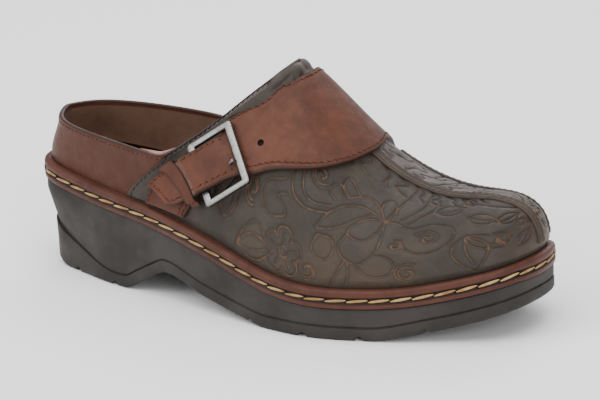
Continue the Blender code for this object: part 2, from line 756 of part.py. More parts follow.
def through_buckle(point, axes):
    """A point of the narrow strap's underside, between the side bars and high enough for the back bar."""
    centre, along, across, outwards = axes
    ahead, aside = (point - centre) @ along, (point - centre) @ across
    inner_side = BUCKLE_LENGTH / 2 - BUCKLE_BAR_WIDTH
    away = max(ahead - BUCKLE_LENGTH / 2, inner_side - ahead, STRAP_END_GAP) - STRAP_END_GAP
    lowest = BUCKLE_BAR_HEIGHT / 2 + FIT_GAP - away * STRAP_DESCENT
    if abs(ahead) < BUCKLE_LENGTH / 2 + STRAP_END_GAP:
        room = BUCKLE_SPAN / 2 - BUCKLE_BAR_WIDTH - STRAP_SIDE_GAP
        point = point + across * (min(max(aside, -room), room) - aside)
    return point + outwards * max(0.0, lowest - (point - centre) @ outwards)


def add_strap(collection, material):
    axes = buckle_axes()
    runs = strap_runs()
    rows = overlay_rows(STRAP, runs, np.linspace(0, 1, 9))
    for run, row in zip(runs, rows):
        if run > SHOULDER_RUN:
            row[:] = [through_buckle(point, axes) for point in row]
    return add_overlay("instep_strap", rows, STRAP_THICKNESS, collection, material)


def strap_below_frame(axes):
    """How far the strap's top stands above the frame's underside where it lies beneath the bars."""
    centre, along, across, outwards = axes
    window = BUCKLE_LENGTH / 2 - BUCKLE_BAR_WIDTH, BUCKLE_SPAN / 2 - BUCKLE_BAR_WIDTH
    heights = []
    for row in overlay_rows(STRAP, np.linspace(WIDE_STRAP_RUN, SHOULDER_RUN, 9), np.linspace(0, 1, 17)):
        for point in row:
            ahead, aside = (point - centre) @ along, (point - centre) @ across
            under_bar = ahead < FIT_GAP - window[0] or abs(aside) > window[1] - STRAP_SIDE_GAP
            if under_bar and abs(ahead) < BUCKLE_LENGTH / 2 + FIT_GAP and abs(aside) < BUCKLE_SPAN / 2 + FIT_GAP:
                heights.append((point - centre) @ outwards + STRAP_THICKNESS)
    return max(heights, default=0.0) + BUCKLE_BAR_HEIGHT / 2


def buckle_axes():
    """Centre and axes of the buckle's plane: along the strap to its end, across it, and outwards."""
    bars = []
    for run, middle, lift in (FRONT_BAR, BACK_BAR):
        bars.append(wrapped_point(*strap_spot(run, middle), lift + BUCKLE_BAR_HEIGHT / 2))
    front, back = bars
    along = (back - front) / np.linalg.norm(back - front)
    halfway = (FRONT_BAR[0] + BACK_BAR[0]) / 2
    across = wrapped_point(*strap_spot(halfway, 1.0)) - wrapped_point(*strap_spot(halfway, 0.0))
    across = across - along * (across @ along)
    across = across / np.linalg.norm(across)
    outwards = np.cross(across, along)
    if outwards @ (front - shoe_middle()) < 0:
        outwards = -outwards
    axes = (front + back) / 2, along, across, outwards
    rise = max(0.0, strap_below_frame(axes) + FIT_GAP)
    return axes[0] + outwards * rise, along, across, outwards


def add_anchor(collection, material):
    rows = overlay_rows(ANCHOR, np.linspace(0, 1, 11), np.linspace(0, 1, 6))
    return add_overlay("buckle_anchor", rows, ANCHOR_THICKNESS, collection, material)


def add_keeper(collection, material):
    """The keeper, a band across the strap with a leg down at each of its edges."""
    rows = []
    for run in KEEPER_RUN + KEEPER_WIDTH_RUN * np.linspace(-0.5, 0.5, 4):
        rows.append([wrapped_point(*strap_spot(run, across), lift) for _, across, lift in KEEPER])
    return add_overlay("strap_keeper", rows, KEEPER_THICKNESS, collection, material)


def place_in_buckle(mesh):
    """Move a mesh that is drawn in the buckle's own axes to its place on the strap."""
    centre, along, across, outwards = buckle_axes()
    for vert in mesh.vertices:
        vert.co = centre + along * vert.co.x + across * vert.co.y + outwards * vert.co.z


def rounded_rectangle(length, width, radius, steps=4):
    corners = []
    for turn, (sx, sy) in enumerate(((1, 1), (-1, 1), (-1, -1), (1, -1))):
        for step in range(steps + 1):
            angle = math.radians(90 * turn + 90 * step / steps)
            x = sx * (length / 2 - radius) + radius * math.cos(angle)
            y = sy * (width / 2 - radius) + radius * math.sin(angle)
            corners.append((x, y))
    return corners


def add_buckle_frame(collection):
    """The buckle's frame: a rounded rectangle of square bar with softened edges, in the buckle's plane."""
    half = BUCKLE_BAR_WIDTH / 2
    soft = BUCKLE_BAR_HEIGHT * 0.22
    tall = BUCKLE_BAR_HEIGHT / 2
    section = ((half, soft - tall), (half, tall - soft), (half - soft, tall), (soft - half, tall))
    section += ((-half, tall - soft), (-half, soft - tall), (soft - half, -tall), (half - soft, -tall))
    rings = []
    for out, height in section:
        length = BUCKLE_LENGTH - BUCKLE_BAR_WIDTH + 2 * out
        width = BUCKLE_SPAN - BUCKLE_BAR_WIDTH + 2 * out
        corner = max(BUCKLE_CORNER - half + out, BUCKLE_CORNER * 0.15)
        rings.append([(x, y, height) for x, y in rounded_rectangle(length, width, corner)])
    shape, lines = loft(rings, closed=True, joined=True)
    mesh = mesh_of(shape, "buckle_frame")
    place_in_buckle(mesh)
    material = finish("brushed_metal", (0.60, 0.60, 0.58), 0.3, 1.0)
    return add_object("buckle_frame", mesh, collection, material)


def prong_path():
    """The prong from the back bar, under the strap and up through its slot to the front bar."""
    reach = BUCKLE_LENGTH / 2 - BUCKLE_BAR_WIDTH - FIT_GAP
    tip = BUCKLE_BAR_HEIGHT * 0.6 + PRONG_RADIUS
    return (
        (reach, PRONG_ACROSS, 0.0),
        (reach * 0.45, PRONG_ACROSS, 0.0),
        (reach * -0.35, PRONG_ACROSS, tip * 0.10),
        (reach * -0.78, PRONG_ACROSS, tip * 0.75),
        (reach * -0.92, PRONG_ACROSS, tip),
        (-reach, PRONG_ACROSS, tip),
    )


def rod(name, points, radius, collection, material=None):
    """A round rod along a path, as a closed mesh."""
    curve = bpy.data.curves.new(name, "CURVE")
    curve.dimensions = "3D"
    curve.bevel_depth = radius
    curve.bevel_resolution = 2
    curve.use_fill_caps = True
    spline = curve.splines.new("POLY")
    spline.points.add(len(points) - 1)
    for knot, point in zip(spline.points, points):
        knot.co = (*point, 1.0)
    guide = bpy.data.objects.new(name + "_path", curve)
    collection.objects.link(guide)
    mesh = bpy.data.meshes.new_from_object(guide.evaluated_get(bpy.context.evaluated_depsgraph_get()))
    bpy.data.objects.remove(guide)
    shape = bmesh.new()
    shape.from_mesh(mesh)
    bmesh.ops.remove_doubles(shape, verts=shape.verts, dist=WELD)
    bmesh.ops.recalc_face_normals(shape, faces=shape.faces)
    shape.to_mesh(mesh)
    shape.free()
    place_in_buckle(mesh)
    return add_object(name, mesh, collection, material)


def add_prong(collection):
    material = finish("prong_metal", (0.55, 0.55, 0.53), 0.35, 1.0)
    return rod("buckle_prong", prong_path(), PRONG_RADIUS, collection, material)


def cut_strap(strap, cutters):
    """The slot that the prong comes up through, and one spare round hole."""
    add_cut(strap, rod("prong_slot_cutter", prong_path(), PRONG_RADIUS + FIT_GAP * 1.5, cutters))
    middle = strap_spot(STRAP_HOLE_RUN, STRAP_HOLE_ACROSS)
    past = 1.5 * MM
    start, end = (wrapped_point(*middle, lift) for lift in (STRAP_SEAT - past, STRAP_SEAT + STRAP_THICKNESS + past))
    shape = bmesh.new()
    bmesh.ops.create_cone(
        shape, cap_ends=True, segments=12, radius1=STRAP_HOLE_RADIUS, radius2=STRAP_HOLE_RADIUS,
        depth=float(np.linalg.norm(end - start)),
    )
    mesh = bpy.data.meshes.new("strap_hole_cutter")
    shape.to_mesh(mesh)
    shape.free()
    cutter = add_object("strap_hole_cutter", mesh, cutters)
    cutter.location = (start + end) / 2
    cutter.rotation_euler = Vector(end - start).to_track_quat("Z", "Y").to_euler()
    add_cut(strap, cutter)


def add_seam(name, column, collection, cutters, material):
    """A raised seam: the part of a shell just above the vamp that lies over the seam's line in plan."""
    rows = []
    for side in (LATERAL, MEDIAL):
        shares = np.linspace(0, SEAM_STARTS[name], 14)
        for share in shares[::-1] if side == LATERAL else shares[1:]:
            row = []
            for height in np.linspace(SEAM_END_HEIGHT, 1, 12):
                row.append(face_point(side, share, height, VAMP_STEP + FIT_GAP))
            rows.append(row)
    shape, lines = loft(rows)
    mesh = mesh_of(shape, name, shoe_middle())
    piece = add_object(name, mesh, collection, material)
    wall = piece.modifiers.new("thickness", "SOLIDIFY")
    wall.thickness = SEAM_HEIGHT
    wall.offset = 1
    wall.use_even_offset = True
    line = fair_curve(column_of(SEAMS, 1), column_of(SEAMS, column))
    half = SEAM_WIDTH / 2
    top = THROAT_HEIGHT
    loops = []
    for share in np.linspace(SEAMS[0][1], SEAMS[-1][1], 25):
        x, y = share * LAST_LENGTH, line(share) * BALL_WIDTH
        loops.append([(x, y - half, 0.0), (x, y + half, 0.0), (x, y + half, top), (x, y - half, top)])
    prism, lines = loft(loops, closed=True)
    for cap in (lines[0], lines[-1]):
        prism.faces.new(cap)
    cutter = add_object(name + "_band", mesh_of(prism, name + "_band"), cutters)
    cutter.hide_render = True
    cutter.display_type = "WIRE"
    keep = piece.modifiers.new("band", "BOOLEAN")
    keep.operation = "INTERSECT"
    keep.object = cutter
    return piece


def plan_centre():
    """The middle of the welt's box in plan, where the part has its origin."""
    stations = ring_stations(np.linspace(0, 1, 181))
    spots = np.array([welt_line(side, share, WELT_WIDTH)[0] for side, share in stations])
    return (spots.min(axis=0) + spots.max(axis=0)) / 2


def build():
    for leftover in list(bpy.data.objects):
        bpy.data.objects.remove(leftover)
    parts = bpy.data.collections.new("clog")
    cutters = bpy.data.collections.new("cutters")
    for collection in (parts, cutters):
        bpy.context.scene.collection.children.link(collection)
    strap_leather = leather("strap_leather", (0.19, 0.075, 0.04), 0.5)
    seam_leather = leather("seam_leather", (0.10, 0.06, 0.04), 0.5)
    sole = add_sole(parts)
    cut_grooves(sole, cutters)
    add_welt(parts)
    add_insole(parts)
    add_upper(parts)
    strap = add_strap(parts, strap_leather)
    cut_strap(strap, cutters)
    add_anchor(parts, strap_leather)
    add_keeper(parts, strap_leather)
    add_buckle_frame(parts)
    add_prong(parts)
    add_seam("seam_lateral", 2, parts, cutters, seam_leather)
    add_seam("seam_medial", 3, parts, cutters, seam_leather)
    x, y = plan_centre()
    shoe = bpy.data.objects.new("shoe", None)
    parts.objects.link(shoe)
    for piece in [*parts.objects, *cutters.objects]:
        if piece is not shoe:
            piece.parent = shoe
    shoe.location = (-x, -y, 0.0)


build()
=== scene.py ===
"""A leather clog for the right foot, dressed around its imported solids.

Leathers, tooling, stitching, buckle and moulded sole are built here. Lengths are in metres, the toe
points along +X, the outer (lateral) side of the foot is -Y, and the sole stands on Z = 0.
"""

from __future__ import annotations

import logging
import math
from dataclasses import dataclass, field
from enum import Enum
from typing import Callable, Iterable, Sequence

import bmesh
import bpy
import numpy as np
from mathutils import Matrix, Vector
from mathutils.bvhtree import BVHTree

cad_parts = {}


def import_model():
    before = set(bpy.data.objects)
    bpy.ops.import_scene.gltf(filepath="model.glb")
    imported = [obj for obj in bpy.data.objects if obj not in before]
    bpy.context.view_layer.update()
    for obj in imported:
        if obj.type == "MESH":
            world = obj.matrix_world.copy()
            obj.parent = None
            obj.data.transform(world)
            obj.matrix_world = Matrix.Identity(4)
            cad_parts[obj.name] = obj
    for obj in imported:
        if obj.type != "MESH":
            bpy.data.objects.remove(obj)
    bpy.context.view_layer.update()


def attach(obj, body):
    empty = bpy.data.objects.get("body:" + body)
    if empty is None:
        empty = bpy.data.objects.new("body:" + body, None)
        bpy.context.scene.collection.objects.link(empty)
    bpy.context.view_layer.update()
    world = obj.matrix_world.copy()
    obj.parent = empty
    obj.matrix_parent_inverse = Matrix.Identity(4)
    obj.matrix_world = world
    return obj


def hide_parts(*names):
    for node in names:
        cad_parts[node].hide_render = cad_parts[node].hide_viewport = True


log = logging.getLogger("clog")

Array = np.ndarray
Curve = Callable[[Array], Array]
Place = Callable[[Array, Array], Array]
Colour = tuple[float, float, float]

MM = 0.001
LATERAL = -1
MEDIAL = 1
BODY = "root"
WELD = 0.001 * MM


class Facing(Enum):
    """Which way the faces of a new piece point."""

    SOLID = "outwards from a closed solid"
    OUT = "away from the foot"
    IN = "towards the foot"


def fair_curve(places: Sequence[float], values: Sequence[float]) -> Curve:
    """A natural cubic spline.

    Args:
        places: where the values stand, rising.
        values: the value at each place.

    Returns:
        The spline as a function of an array of places.
    """
    x = np.asarray(places, float)
    y = np.asarray(values, float)
    step = np.diff(x)
    slope = np.diff(y) / step
    matrix = np.eye(len(x))
    right = np.zeros(len(x))
    for i in range(1, len(x) - 1):
        matrix[i, i - 1 : i + 2] = step[i - 1], 2 * (step[i - 1] + step[i]), step[i]
        right[i] = 6 * (slope[i] - slope[i - 1])
    bend = np.linalg.solve(matrix, right)

    def value(at: Array) -> Array:
        at = np.clip(at, x[0], x[-1])
        i = np.clip(np.searchsorted(x, at) - 1, 0, len(x) - 2)
        a = (x[i + 1] - at) / step[i]
        b = 1 - a
        curl = ((a**3 - a) * bend[i] + (b**3 - b) * bend[i + 1]) * step[i] ** 2 / 6
        return a * y[i] + b * y[i + 1] + curl

    return value


def tight_curve(places: Sequence[float], values: Sequence[float]) -> Curve:
    """A cubic that never overshoots its values, so that flats stay flat.

    Args:
        places: where the values stand, rising.
        values: the value at each place.

    Returns:
        The cubic as a function of an array of places.
    """
    x = np.asarray(places, float)
    y = np.asarray(values, float)
    step = np.diff(x)
    slope = np.diff(y) / step
    lean = np.zeros(len(x))
    for i in range(1, len(x) - 1):
        if slope[i - 1] * slope[i] > 0:
            before = 2 * step[i] + step[i - 1]
            after = step[i] + 2 * step[i - 1]
            lean[i] = (before + after) / (before / slope[i - 1] + after / slope[i])
    lean[0], lean[-1] = slope[0], slope[-1]

    def value(at: Array) -> Array:
        at = np.clip(at, x[0], x[-1])
        i = np.clip(np.searchsorted(x, at) - 1, 0, len(x) - 2)
        s = (at - x[i]) / step[i]
        rise = s * s * (3 - 2 * s)
        start = s * (1 - s) ** 2 * step[i] * lean[i]
        end = s * s * (s - 1) * step[i] * lean[i + 1]
        return y[i] + (y[i + 1] - y[i]) * rise + start + end

    return value


def ramp(value: Array, low: float, high: float) -> Array:
    """A smooth step from 0 at low to 1 at high; low may be above high."""
    s = np.clip((value - low) / (high - low), 0.0, 1.0)
    return s * s * (3 - 2 * s)


def unit(vectors: Array) -> Array:
    """Vectors of length one, along the last axis."""
    return vectors / np.maximum(np.linalg.norm(vectors, axis=-1, keepdims=True), 1e-12)


def eased(points: Array, passes: int) -> Array:
    """Points smoothed along their first axis, with both ends kept."""
    points = points.copy()
    for _ in range(passes):
        points[1:-1] = (points[:-2] + 2 * points[1:-1] + points[2:]) / 4
    return points


def column(table: Sequence[tuple], index: int) -> list:
    """One column of a table of rows."""
    return [row[index] for row in table]


@dataclass
class LastForm:
    """The form that the upper is pulled over: outline, beds, ridge, topline and the upper's columns.

    share runs from 0 at the toe tip to 1 at the back of the heel, along each side of the welt.
    height is 0 at the welt and 1 at the ridge or topline; wrap is 1 - height, negative on the inner side.
    """

    length: float = 256 * MM
    ball_width: float = 91 * MM
    heel_seat: float = 40 * MM
    ball_seat: float = 15 * MM
    toe_seat: float = 27 * MM
    throat_height: float = 109.6 * MM
    toe_box_height: float = 58 * MM
    topline_height: float = 71 * MM
    arch_lift: float = 13.5 * MM
    toe_spring: float = 16.5 * MM
    heel_bevel: float = 12 * MM
    welt_width: float = 4.0 * MM
    welt_rise: float = 9.2 * MM
    vamp_step: float = 1.2 * MM
    throat_along: float = 0.515
    throat_share: float = 0.52
    vamp_edge: float = 0.73
    throat_fade: float = 0.12
    outline: tuple = (
        ("toe tip", 0.996, 0.11),
        ("outer toe", 0.974, -0.166),
        ("outer toe corner", 0.876, -0.338),
        ("little toe", 0.769, -0.466),
        ("outer ball", 0.641, -0.555),
        ("outer waist", 0.448, -0.482),
        ("outer heel front", 0.280, -0.385),
        ("outer heel", 0.133, -0.300),
        ("outer heel turn", 0.022, -0.205),
        ("heel back", 0.000, -0.010),
        ("inner heel turn", 0.030, 0.205),
        ("inner heel", 0.132, 0.318),
        ("inner heel front", 0.280, 0.335),
        ("inner waist", 0.450, 0.328),
        ("behind inner ball", 0.600, 0.415),
        ("inner ball", 0.722, 0.468),
        ("big toe", 0.848, 0.441),
        ("big toe corner", 0.960, 0.328),
    )
    heel_row: int = 9
    origin: Array = field(init=False)

    def __post_init__(self) -> None:
        """Work out the curves that the sizes give."""
        self.sides = {side: self._side_table(side) for side in (LATERAL, MEDIAL)}
        bed = (
            (0.00, self.heel_seat * 1.09),
            (0.14, self.heel_seat * 0.95),
            (0.28, self.heel_seat * 0.86),
            (0.44, self.heel_seat * 0.67),
            (0.58, self.ball_seat * 1.17),
            (0.70, self.ball_seat),
            (0.84, self.ball_seat + (self.toe_seat - self.ball_seat) * 0.19),
            (1.00, self.toe_seat),
        )
        self.bed = fair_curve([s * self.length for s in column(bed, 0)], column(bed, 1))
        tread = (
            (-0.03, self.heel_bevel),
            (0.00, self.heel_bevel * 0.28),
            (0.05, 0.0),
            (0.215, 0.0),
            (0.25, self.arch_lift * 0.32),
            (0.285, self.arch_lift * 0.68),
            (0.325, self.arch_lift),
            (0.42, self.arch_lift * 0.55),
            (0.52, self.arch_lift * 0.15),
            (0.57, 0.0),
            (0.76, 0.0),
            (0.88, self.toe_spring * 0.35),
            (1.03, self.toe_spring),
        )
        self.tread = tight_curve([s * self.length for s in column(tread, 0)], column(tread, 1))
        climb = self.throat_height - self.toe_box_height
        ridge = (
            (self.throat_along, self.throat_height),
            (0.60, self.toe_box_height + climb * 0.65),
            (0.68, self.toe_box_height + climb * 0.31),
            (0.76, self.toe_box_height + climb * 0.07),
            (0.83, self.toe_box_height - climb * 0.01),
            (0.885, self.toe_box_height + climb * 0.01),
        )
        self.ridge = fair_curve([s * self.length for s in column(ridge, 0)], column(ridge, 1))
        ridge_run = (
            (0.00, 0.885, 0.086),
            (0.10, 0.862, 0.081),
            (0.20, 0.800, 0.076),
            (0.30, 0.720, 0.068),
            (0.40, 0.630, 0.062),
            (self.throat_share, self.throat_along, 0.054),
        )
        self.ridge_run = [fair_curve(column(ridge_run, 0), column(ridge_run, k)) for k in (1, 2)]
        top = self.topline_height
        topline = (
            (self.throat_share, self.throat_along, 0.054, 0.054, self.throat_height),
            (0.57, 0.497, -0.10, 0.135, top + 34.5 * MM),
            (0.66, 0.415, -0.268, 0.29, top + 16 * MM),
            (self.vamp_edge, 0.331, -0.346, 0.34, top),
            (0.84, 0.240, -0.352, 0.36, top * 0.965),
            (0.93, 0.055, -0.225, 0.225, top * 1.01),
            (1.00, 0.004, -0.01, -0.01, top * 1.035),
        )
        self.topline = {
            side: [fair_curve(column(topline, 0), column(topline, k)) for k in (1, across, 4)]
            for side, across in ((LATERAL, 2), (MEDIAL, 3))
        }
        rise = (
            (0.00, 0.81, 0.025, 0.66, 4.0),
            (0.15, 0.76, 0.038, 0.65, 2.0),
            (0.30, 0.55, 0.030, 0.50, 0.0),
            (0.42, 0.53, 0.024, 0.47, 0.0),
            (self.throat_share, 0.46, 0.008, 0.40, 0.0),
            (0.57, 0.46, 0.010, 0.37, 24.0),
            (0.66, 0.40, 0.010, 0.34, 55.0),
            (self.vamp_edge, 0.31, 0.000, 0.22, 78.0),
            (0.86, 0.36, 0.045, 0.29, 86.0),
            (1.00, 0.37, 0.065, 0.29, 84.0),
        )
        self.rise = [fair_curve(column(rise, 0), column(rise, k)) for k in (1, 2, 3, 4)]
        swing = ((0.0, 0.0), (0.455, 0.0), (self.throat_share, 30.0), (0.56, 46.0), (0.61, 36.0), (0.68, 0.0), (1.0, 0.0))
        self.swing = tight_curve(column(swing, 0), column(swing, 1))
        shares = np.linspace(0, 1, 181)
        spots = np.concatenate([self.welt_line(side, shares, self.welt_width)[0] for side in (LATERAL, MEDIAL)])
        self.origin = np.array([*(spots.min(axis=0) + spots.max(axis=0)) / 2, 0.0])

    def _side_table(self, side: int, samples: int = 96) -> tuple[Array, Array, Array]:
        """One side of the outline, from toe tip to heel back.

        Args:
            side: LATERAL or MEDIAL.
            samples: points between two corners of the outline.

        Returns:
            Shares of the side's run, points and outward normals.
        """
        corners = np.array([(row[1] * self.length, row[2] * self.ball_width) for row in self.outline])
        s = (np.arange(samples) / samples)[:, None]
        before, here, after, later = (np.roll(corners, -k, axis=0)[:, None] for k in (-1, 0, 1, 2))
        points = 0.5 * (
            2 * here
            + (after - before) * s
            + (2 * before - 5 * here + 4 * after - later) * s**2
            + (3 * here - before - 3 * after + later) * s**3
        )
        points = points.reshape(-1, 2)
        heel = self.heel_row * samples
        ahead = np.roll(points, -1, axis=0) - np.roll(points, 1, axis=0)
        normals = unit(np.stack([-ahead[:, 1], ahead[:, 0]], axis=1))
        if ((points - points.mean(axis=0)) * normals).sum() < 0:
            normals = -normals
        if side == LATERAL:
            picked = np.arange(0, heel + 1)
        else:
            picked = np.concatenate([[0], np.arange(len(points) - 1, heel - 1, -1)])
        run = points[picked]
        reach = np.concatenate([[0], np.cumsum(np.linalg.norm(np.diff(run, axis=0), axis=1))])
        return reach / reach[-1], run, normals[picked]

    def welt_line(self, side: int, share: Array, out: Array | float = 0.0) -> tuple[Array, Array]:
        """Points of the outline where upper and welt meet.

        Args:
            side: LATERAL or MEDIAL.
            share: shares along that side.
            out: how far the points are moved outwards.

        Returns:
            Points and outward normals in plan.
        """
        shares, run, normals = self.sides[side]
        point = np.stack([np.interp(share, shares, run[:, k]) for k in (0, 1)], axis=-1)
        normal = unit(np.stack([np.interp(share, shares, normals[:, k]) for k in (0, 1)], axis=-1))
        return point + normal * np.reshape(np.broadcast_to(out, np.shape(share)), (*np.shape(share), 1)), normal

    def ridge_slope(self, share: Array) -> Array:
        """Fall of the ridge per length along the shoe, fading out behind the throat."""
        along = self.ridge_run[0](np.minimum(share, self.throat_share)) * self.length
        step = 2 * MM
        fading = np.clip(1 - (share - self.throat_share) / self.throat_fade, 0.0, 1.0)
        return fading * (self.ridge(along + step) - self.ridge(along - step)) / (2 * step)

    def _outer_of_side(self, side: int, share: Array, height: Array) -> Array:
        """Points of the upper's plain outer face on one side."""
        foot_xy, normal = self.welt_line(side, share)
        foot = np.concatenate([foot_xy, (self.bed(foot_xy[:, 0]) + self.welt_rise)[:, None]], axis=1)
        on_ridge = share <= self.throat_share
        along = np.where(on_ridge, self.ridge_run[0](share), self.topline[side][0](share)) * self.length
        across = np.where(on_ridge, self.ridge_run[1](share), self.topline[side][1](share)) * self.ball_width
        tall_at = np.where(on_ridge, self.ridge(along), self.topline[side][2](share))
        top = np.stack([along, across, tall_at], axis=1)
        belly, flare, crown, turn = (curve(share) for curve in self.rise)
        tall = top[:, 2] - foot[:, 2]
        lower = foot.copy()
        lower[:, 2] += tall * belly
        lower[:, :2] += normal * (tall * flare)[:, None]
        swing = np.radians(self.swing(share)) * -side
        x, y = foot[:, 0] - top[:, 0], foot[:, 1] - top[:, 1]
        level_x = x * np.cos(swing) - y * np.sin(swing)
        level_y = x * np.sin(swing) + y * np.cos(swing)
        level = np.stack([level_x, level_y, self.ridge_slope(share) * level_x], axis=1)
        turn = np.radians(turn)
        upper = top + level * (crown * np.cos(turn))[:, None]
        upper[:, 2] -= tall * crown * np.sin(turn)
        t = height[:, None]
        return (1 - t) ** 3 * foot + 3 * t * (1 - t) ** 2 * lower + 3 * t * t * (1 - t) * upper + t**3 * top

    def outer(self, side: Array, share: Array, height: Array) -> Array:
        """Points of the plain outer face; a share past the toe or heel runs on to the other side."""
        side = np.where((share < 0) | (share > 1), -side, side)
        share = np.where(share < 0, -share, np.where(share > 1, 2 - share, share))
        points = np.empty((len(share), 3))
        for each in (LATERAL, MEDIAL):
            picked = side == each
            if picked.any():
                points[picked] = self._outer_of_side(each, share[picked], height[picked])
        return points

    def normal(self, side: Array, share: Array, height: Array) -> Array:
        """Outward directions of the plain outer face."""
        step = 0.004
        ahead = self.outer(side, share + step, height)
        behind = self.outer(side, share - step, height)
        above = self.outer(side, share, np.minimum(height + step, 1.0))
        below = self.outer(side, share, np.maximum(height - step, 0.0))
        normal = unit(np.cross(ahead - behind, above - below) * side[:, None])
        on_ridge = (share <= self.throat_share) & (height > 1 - step / 4)
        slope = self.ridge_slope(share)
        upright = unit(np.stack([-slope, np.zeros_like(slope), np.ones_like(slope)], axis=1))
        return np.where(on_ridge[:, None], upright, normal)

    def face(self, side: int | Array, share: Array, height: Array, lift: Array | float = 0.0) -> Array:
        """Points above the upper's outer face, in the row's frame.

        Args:
            side: LATERAL or MEDIAL, or one for each point.
            share: shares along the welt.
            height: heights up the columns.
            lift: distance above the plain face.

        Returns:
            The points, less the origin.
        """
        share, height, side, lift = (np.array(a, float) for a in np.broadcast_arrays(share, height, side, lift))
        points = self.outer(side, share, height) + self.normal(side, share, height) * lift[:, None]
        return points - self.origin

    def wrapped(self, share: Array, wrap: Array, lift: Array | float = 0.0) -> Array:
        """Points above the vamp at a share and a wrap, in the row's frame."""
        share, wrap = np.broadcast_arrays(np.asarray(share, float), np.asarray(wrap, float))
        side = np.where(wrap >= 0, LATERAL, MEDIAL)
        return self.face(side, share, 1 - np.abs(wrap), self.vamp_step + np.asarray(lift, float))

    def wrapped_normal(self, share: Array, wrap: Array) -> Array:
        """Outward directions of the vamp at a share and a wrap."""
        share, wrap = np.broadcast_arrays(np.asarray(share, float), np.asarray(wrap, float))
        side = np.where(wrap >= 0, LATERAL, MEDIAL).astype(float)
        return self.normal(side, share, 1 - np.abs(wrap))


FOOT_MIDDLE = np.array([0.01, 0.0, 0.05])


def finish_shape(
    shape: bmesh.types.BMesh, name: str, material: bpy.types.Material, facing: Facing, sharp: float = 40.0
) -> bpy.types.Object:
    """Weld a bmesh, point its faces the right way and make it a new object in the scene.

    Args:
        shape: the bmesh, which is freed.
        name: the piece's name.
        material: its finish.
        facing: which way its faces point.
        sharp: edges bent more than this many degrees stay sharp.

    Returns:
        The new object.
    """
    bmesh.ops.remove_doubles(shape, verts=shape.verts, dist=WELD)
    bmesh.ops.dissolve_degenerate(shape, edges=shape.edges, dist=WELD)
    bmesh.ops.recalc_face_normals(shape, faces=shape.faces)
    if facing is not Facing.SOLID:
        middle = Vector(FOOT_MIDDLE)
        outwards = sum(f.normal.dot(f.calc_center_median() - middle) * f.calc_area() for f in shape.faces)
        if (outwards < 0) == (facing is Facing.OUT):
            bmesh.ops.reverse_faces(shape, faces=shape.faces)
    mesh = bpy.data.meshes.new(name)
    shape.to_mesh(mesh)
    shape.free()
    mesh.materials.append(material)
    mesh.shade_smooth()
    mesh.set_sharp_from_angle(angle=math.radians(sharp))
    piece = bpy.data.objects.new(name, mesh)
    bpy.context.scene.collection.objects.link(piece)
    return piece


def drape(columns: int, rows: int, place: Place, values: dict[str, Place] | None = None) -> bmesh.types.BMesh:
    """A grid whose every vertex is moved to its place.

    Args:
        columns: faces along u.
        rows: faces along v.
        place: gives points for arrays of u and v from 0 to 1.
        values: attributes to store at the vertices, by name.

    Returns:
        The bmesh.
    """
    shape = bmesh.new()
    bmesh.ops.create_grid(shape, x_segments=columns, y_segments=rows, size=0.5)
    flat = np.array([vert.co[:2] for vert in shape.verts]) + 0.5
    points = place(flat[:, 0], flat[:, 1])
    for vert, point in zip(shape.verts, points):
        vert.co = point
    for name, value in (values or {}).items():
        layer = shape.verts.layers.float.new(name)
        for vert, number in zip(shape.verts, value(flat[:, 0], flat[:, 1])):
            vert[layer] = float(number)
    return shape


def joined(shapes: Sequence[bmesh.types.BMesh]) -> bmesh.types.BMesh:
    """Several bmeshes as one; all but the first are freed."""
    first = shapes[0]
    for other in shapes[1:]:
        mesh = bpy.data.meshes.new("joining")
        other.to_mesh(mesh)
        other.free()
        first.from_mesh(mesh)
        bpy.data.meshes.remove(mesh)
    return first


def apply_modifiers(piece: bpy.types.Object) -> None:
    """Replace a piece's mesh by the one that its modifiers give."""
    graph = bpy.context.evaluated_depsgraph_get()
    mesh = bpy.data.meshes.new_from_object(piece.evaluated_get(graph), preserve_all_data_layers=True, depsgraph=graph)
    piece.modifiers.clear()
    piece.data = mesh


def round_edges(piece: bpy.types.Object, width: float, segments: int = 2, angle: float = 50.0) -> None:
    """Round the sharp edges of a piece."""
    bevel = piece.modifiers.new("edge", "BEVEL")
    bevel.width = width
    bevel.segments = segments
    bevel.limit_method = "ANGLE"
    bevel.angle_limit = math.radians(angle)
    bevel.harden_normals = False


def thicken(piece: bpy.types.Object, thickness: float, offset: float = 1.0) -> None:
    """Give an open surface its thickness."""
    wall = piece.modifiers.new("thickness", "SOLIDIFY")
    wall.thickness = thickness
    wall.offset = offset
    wall.use_even_offset = True
    wall.use_quality_normals = True


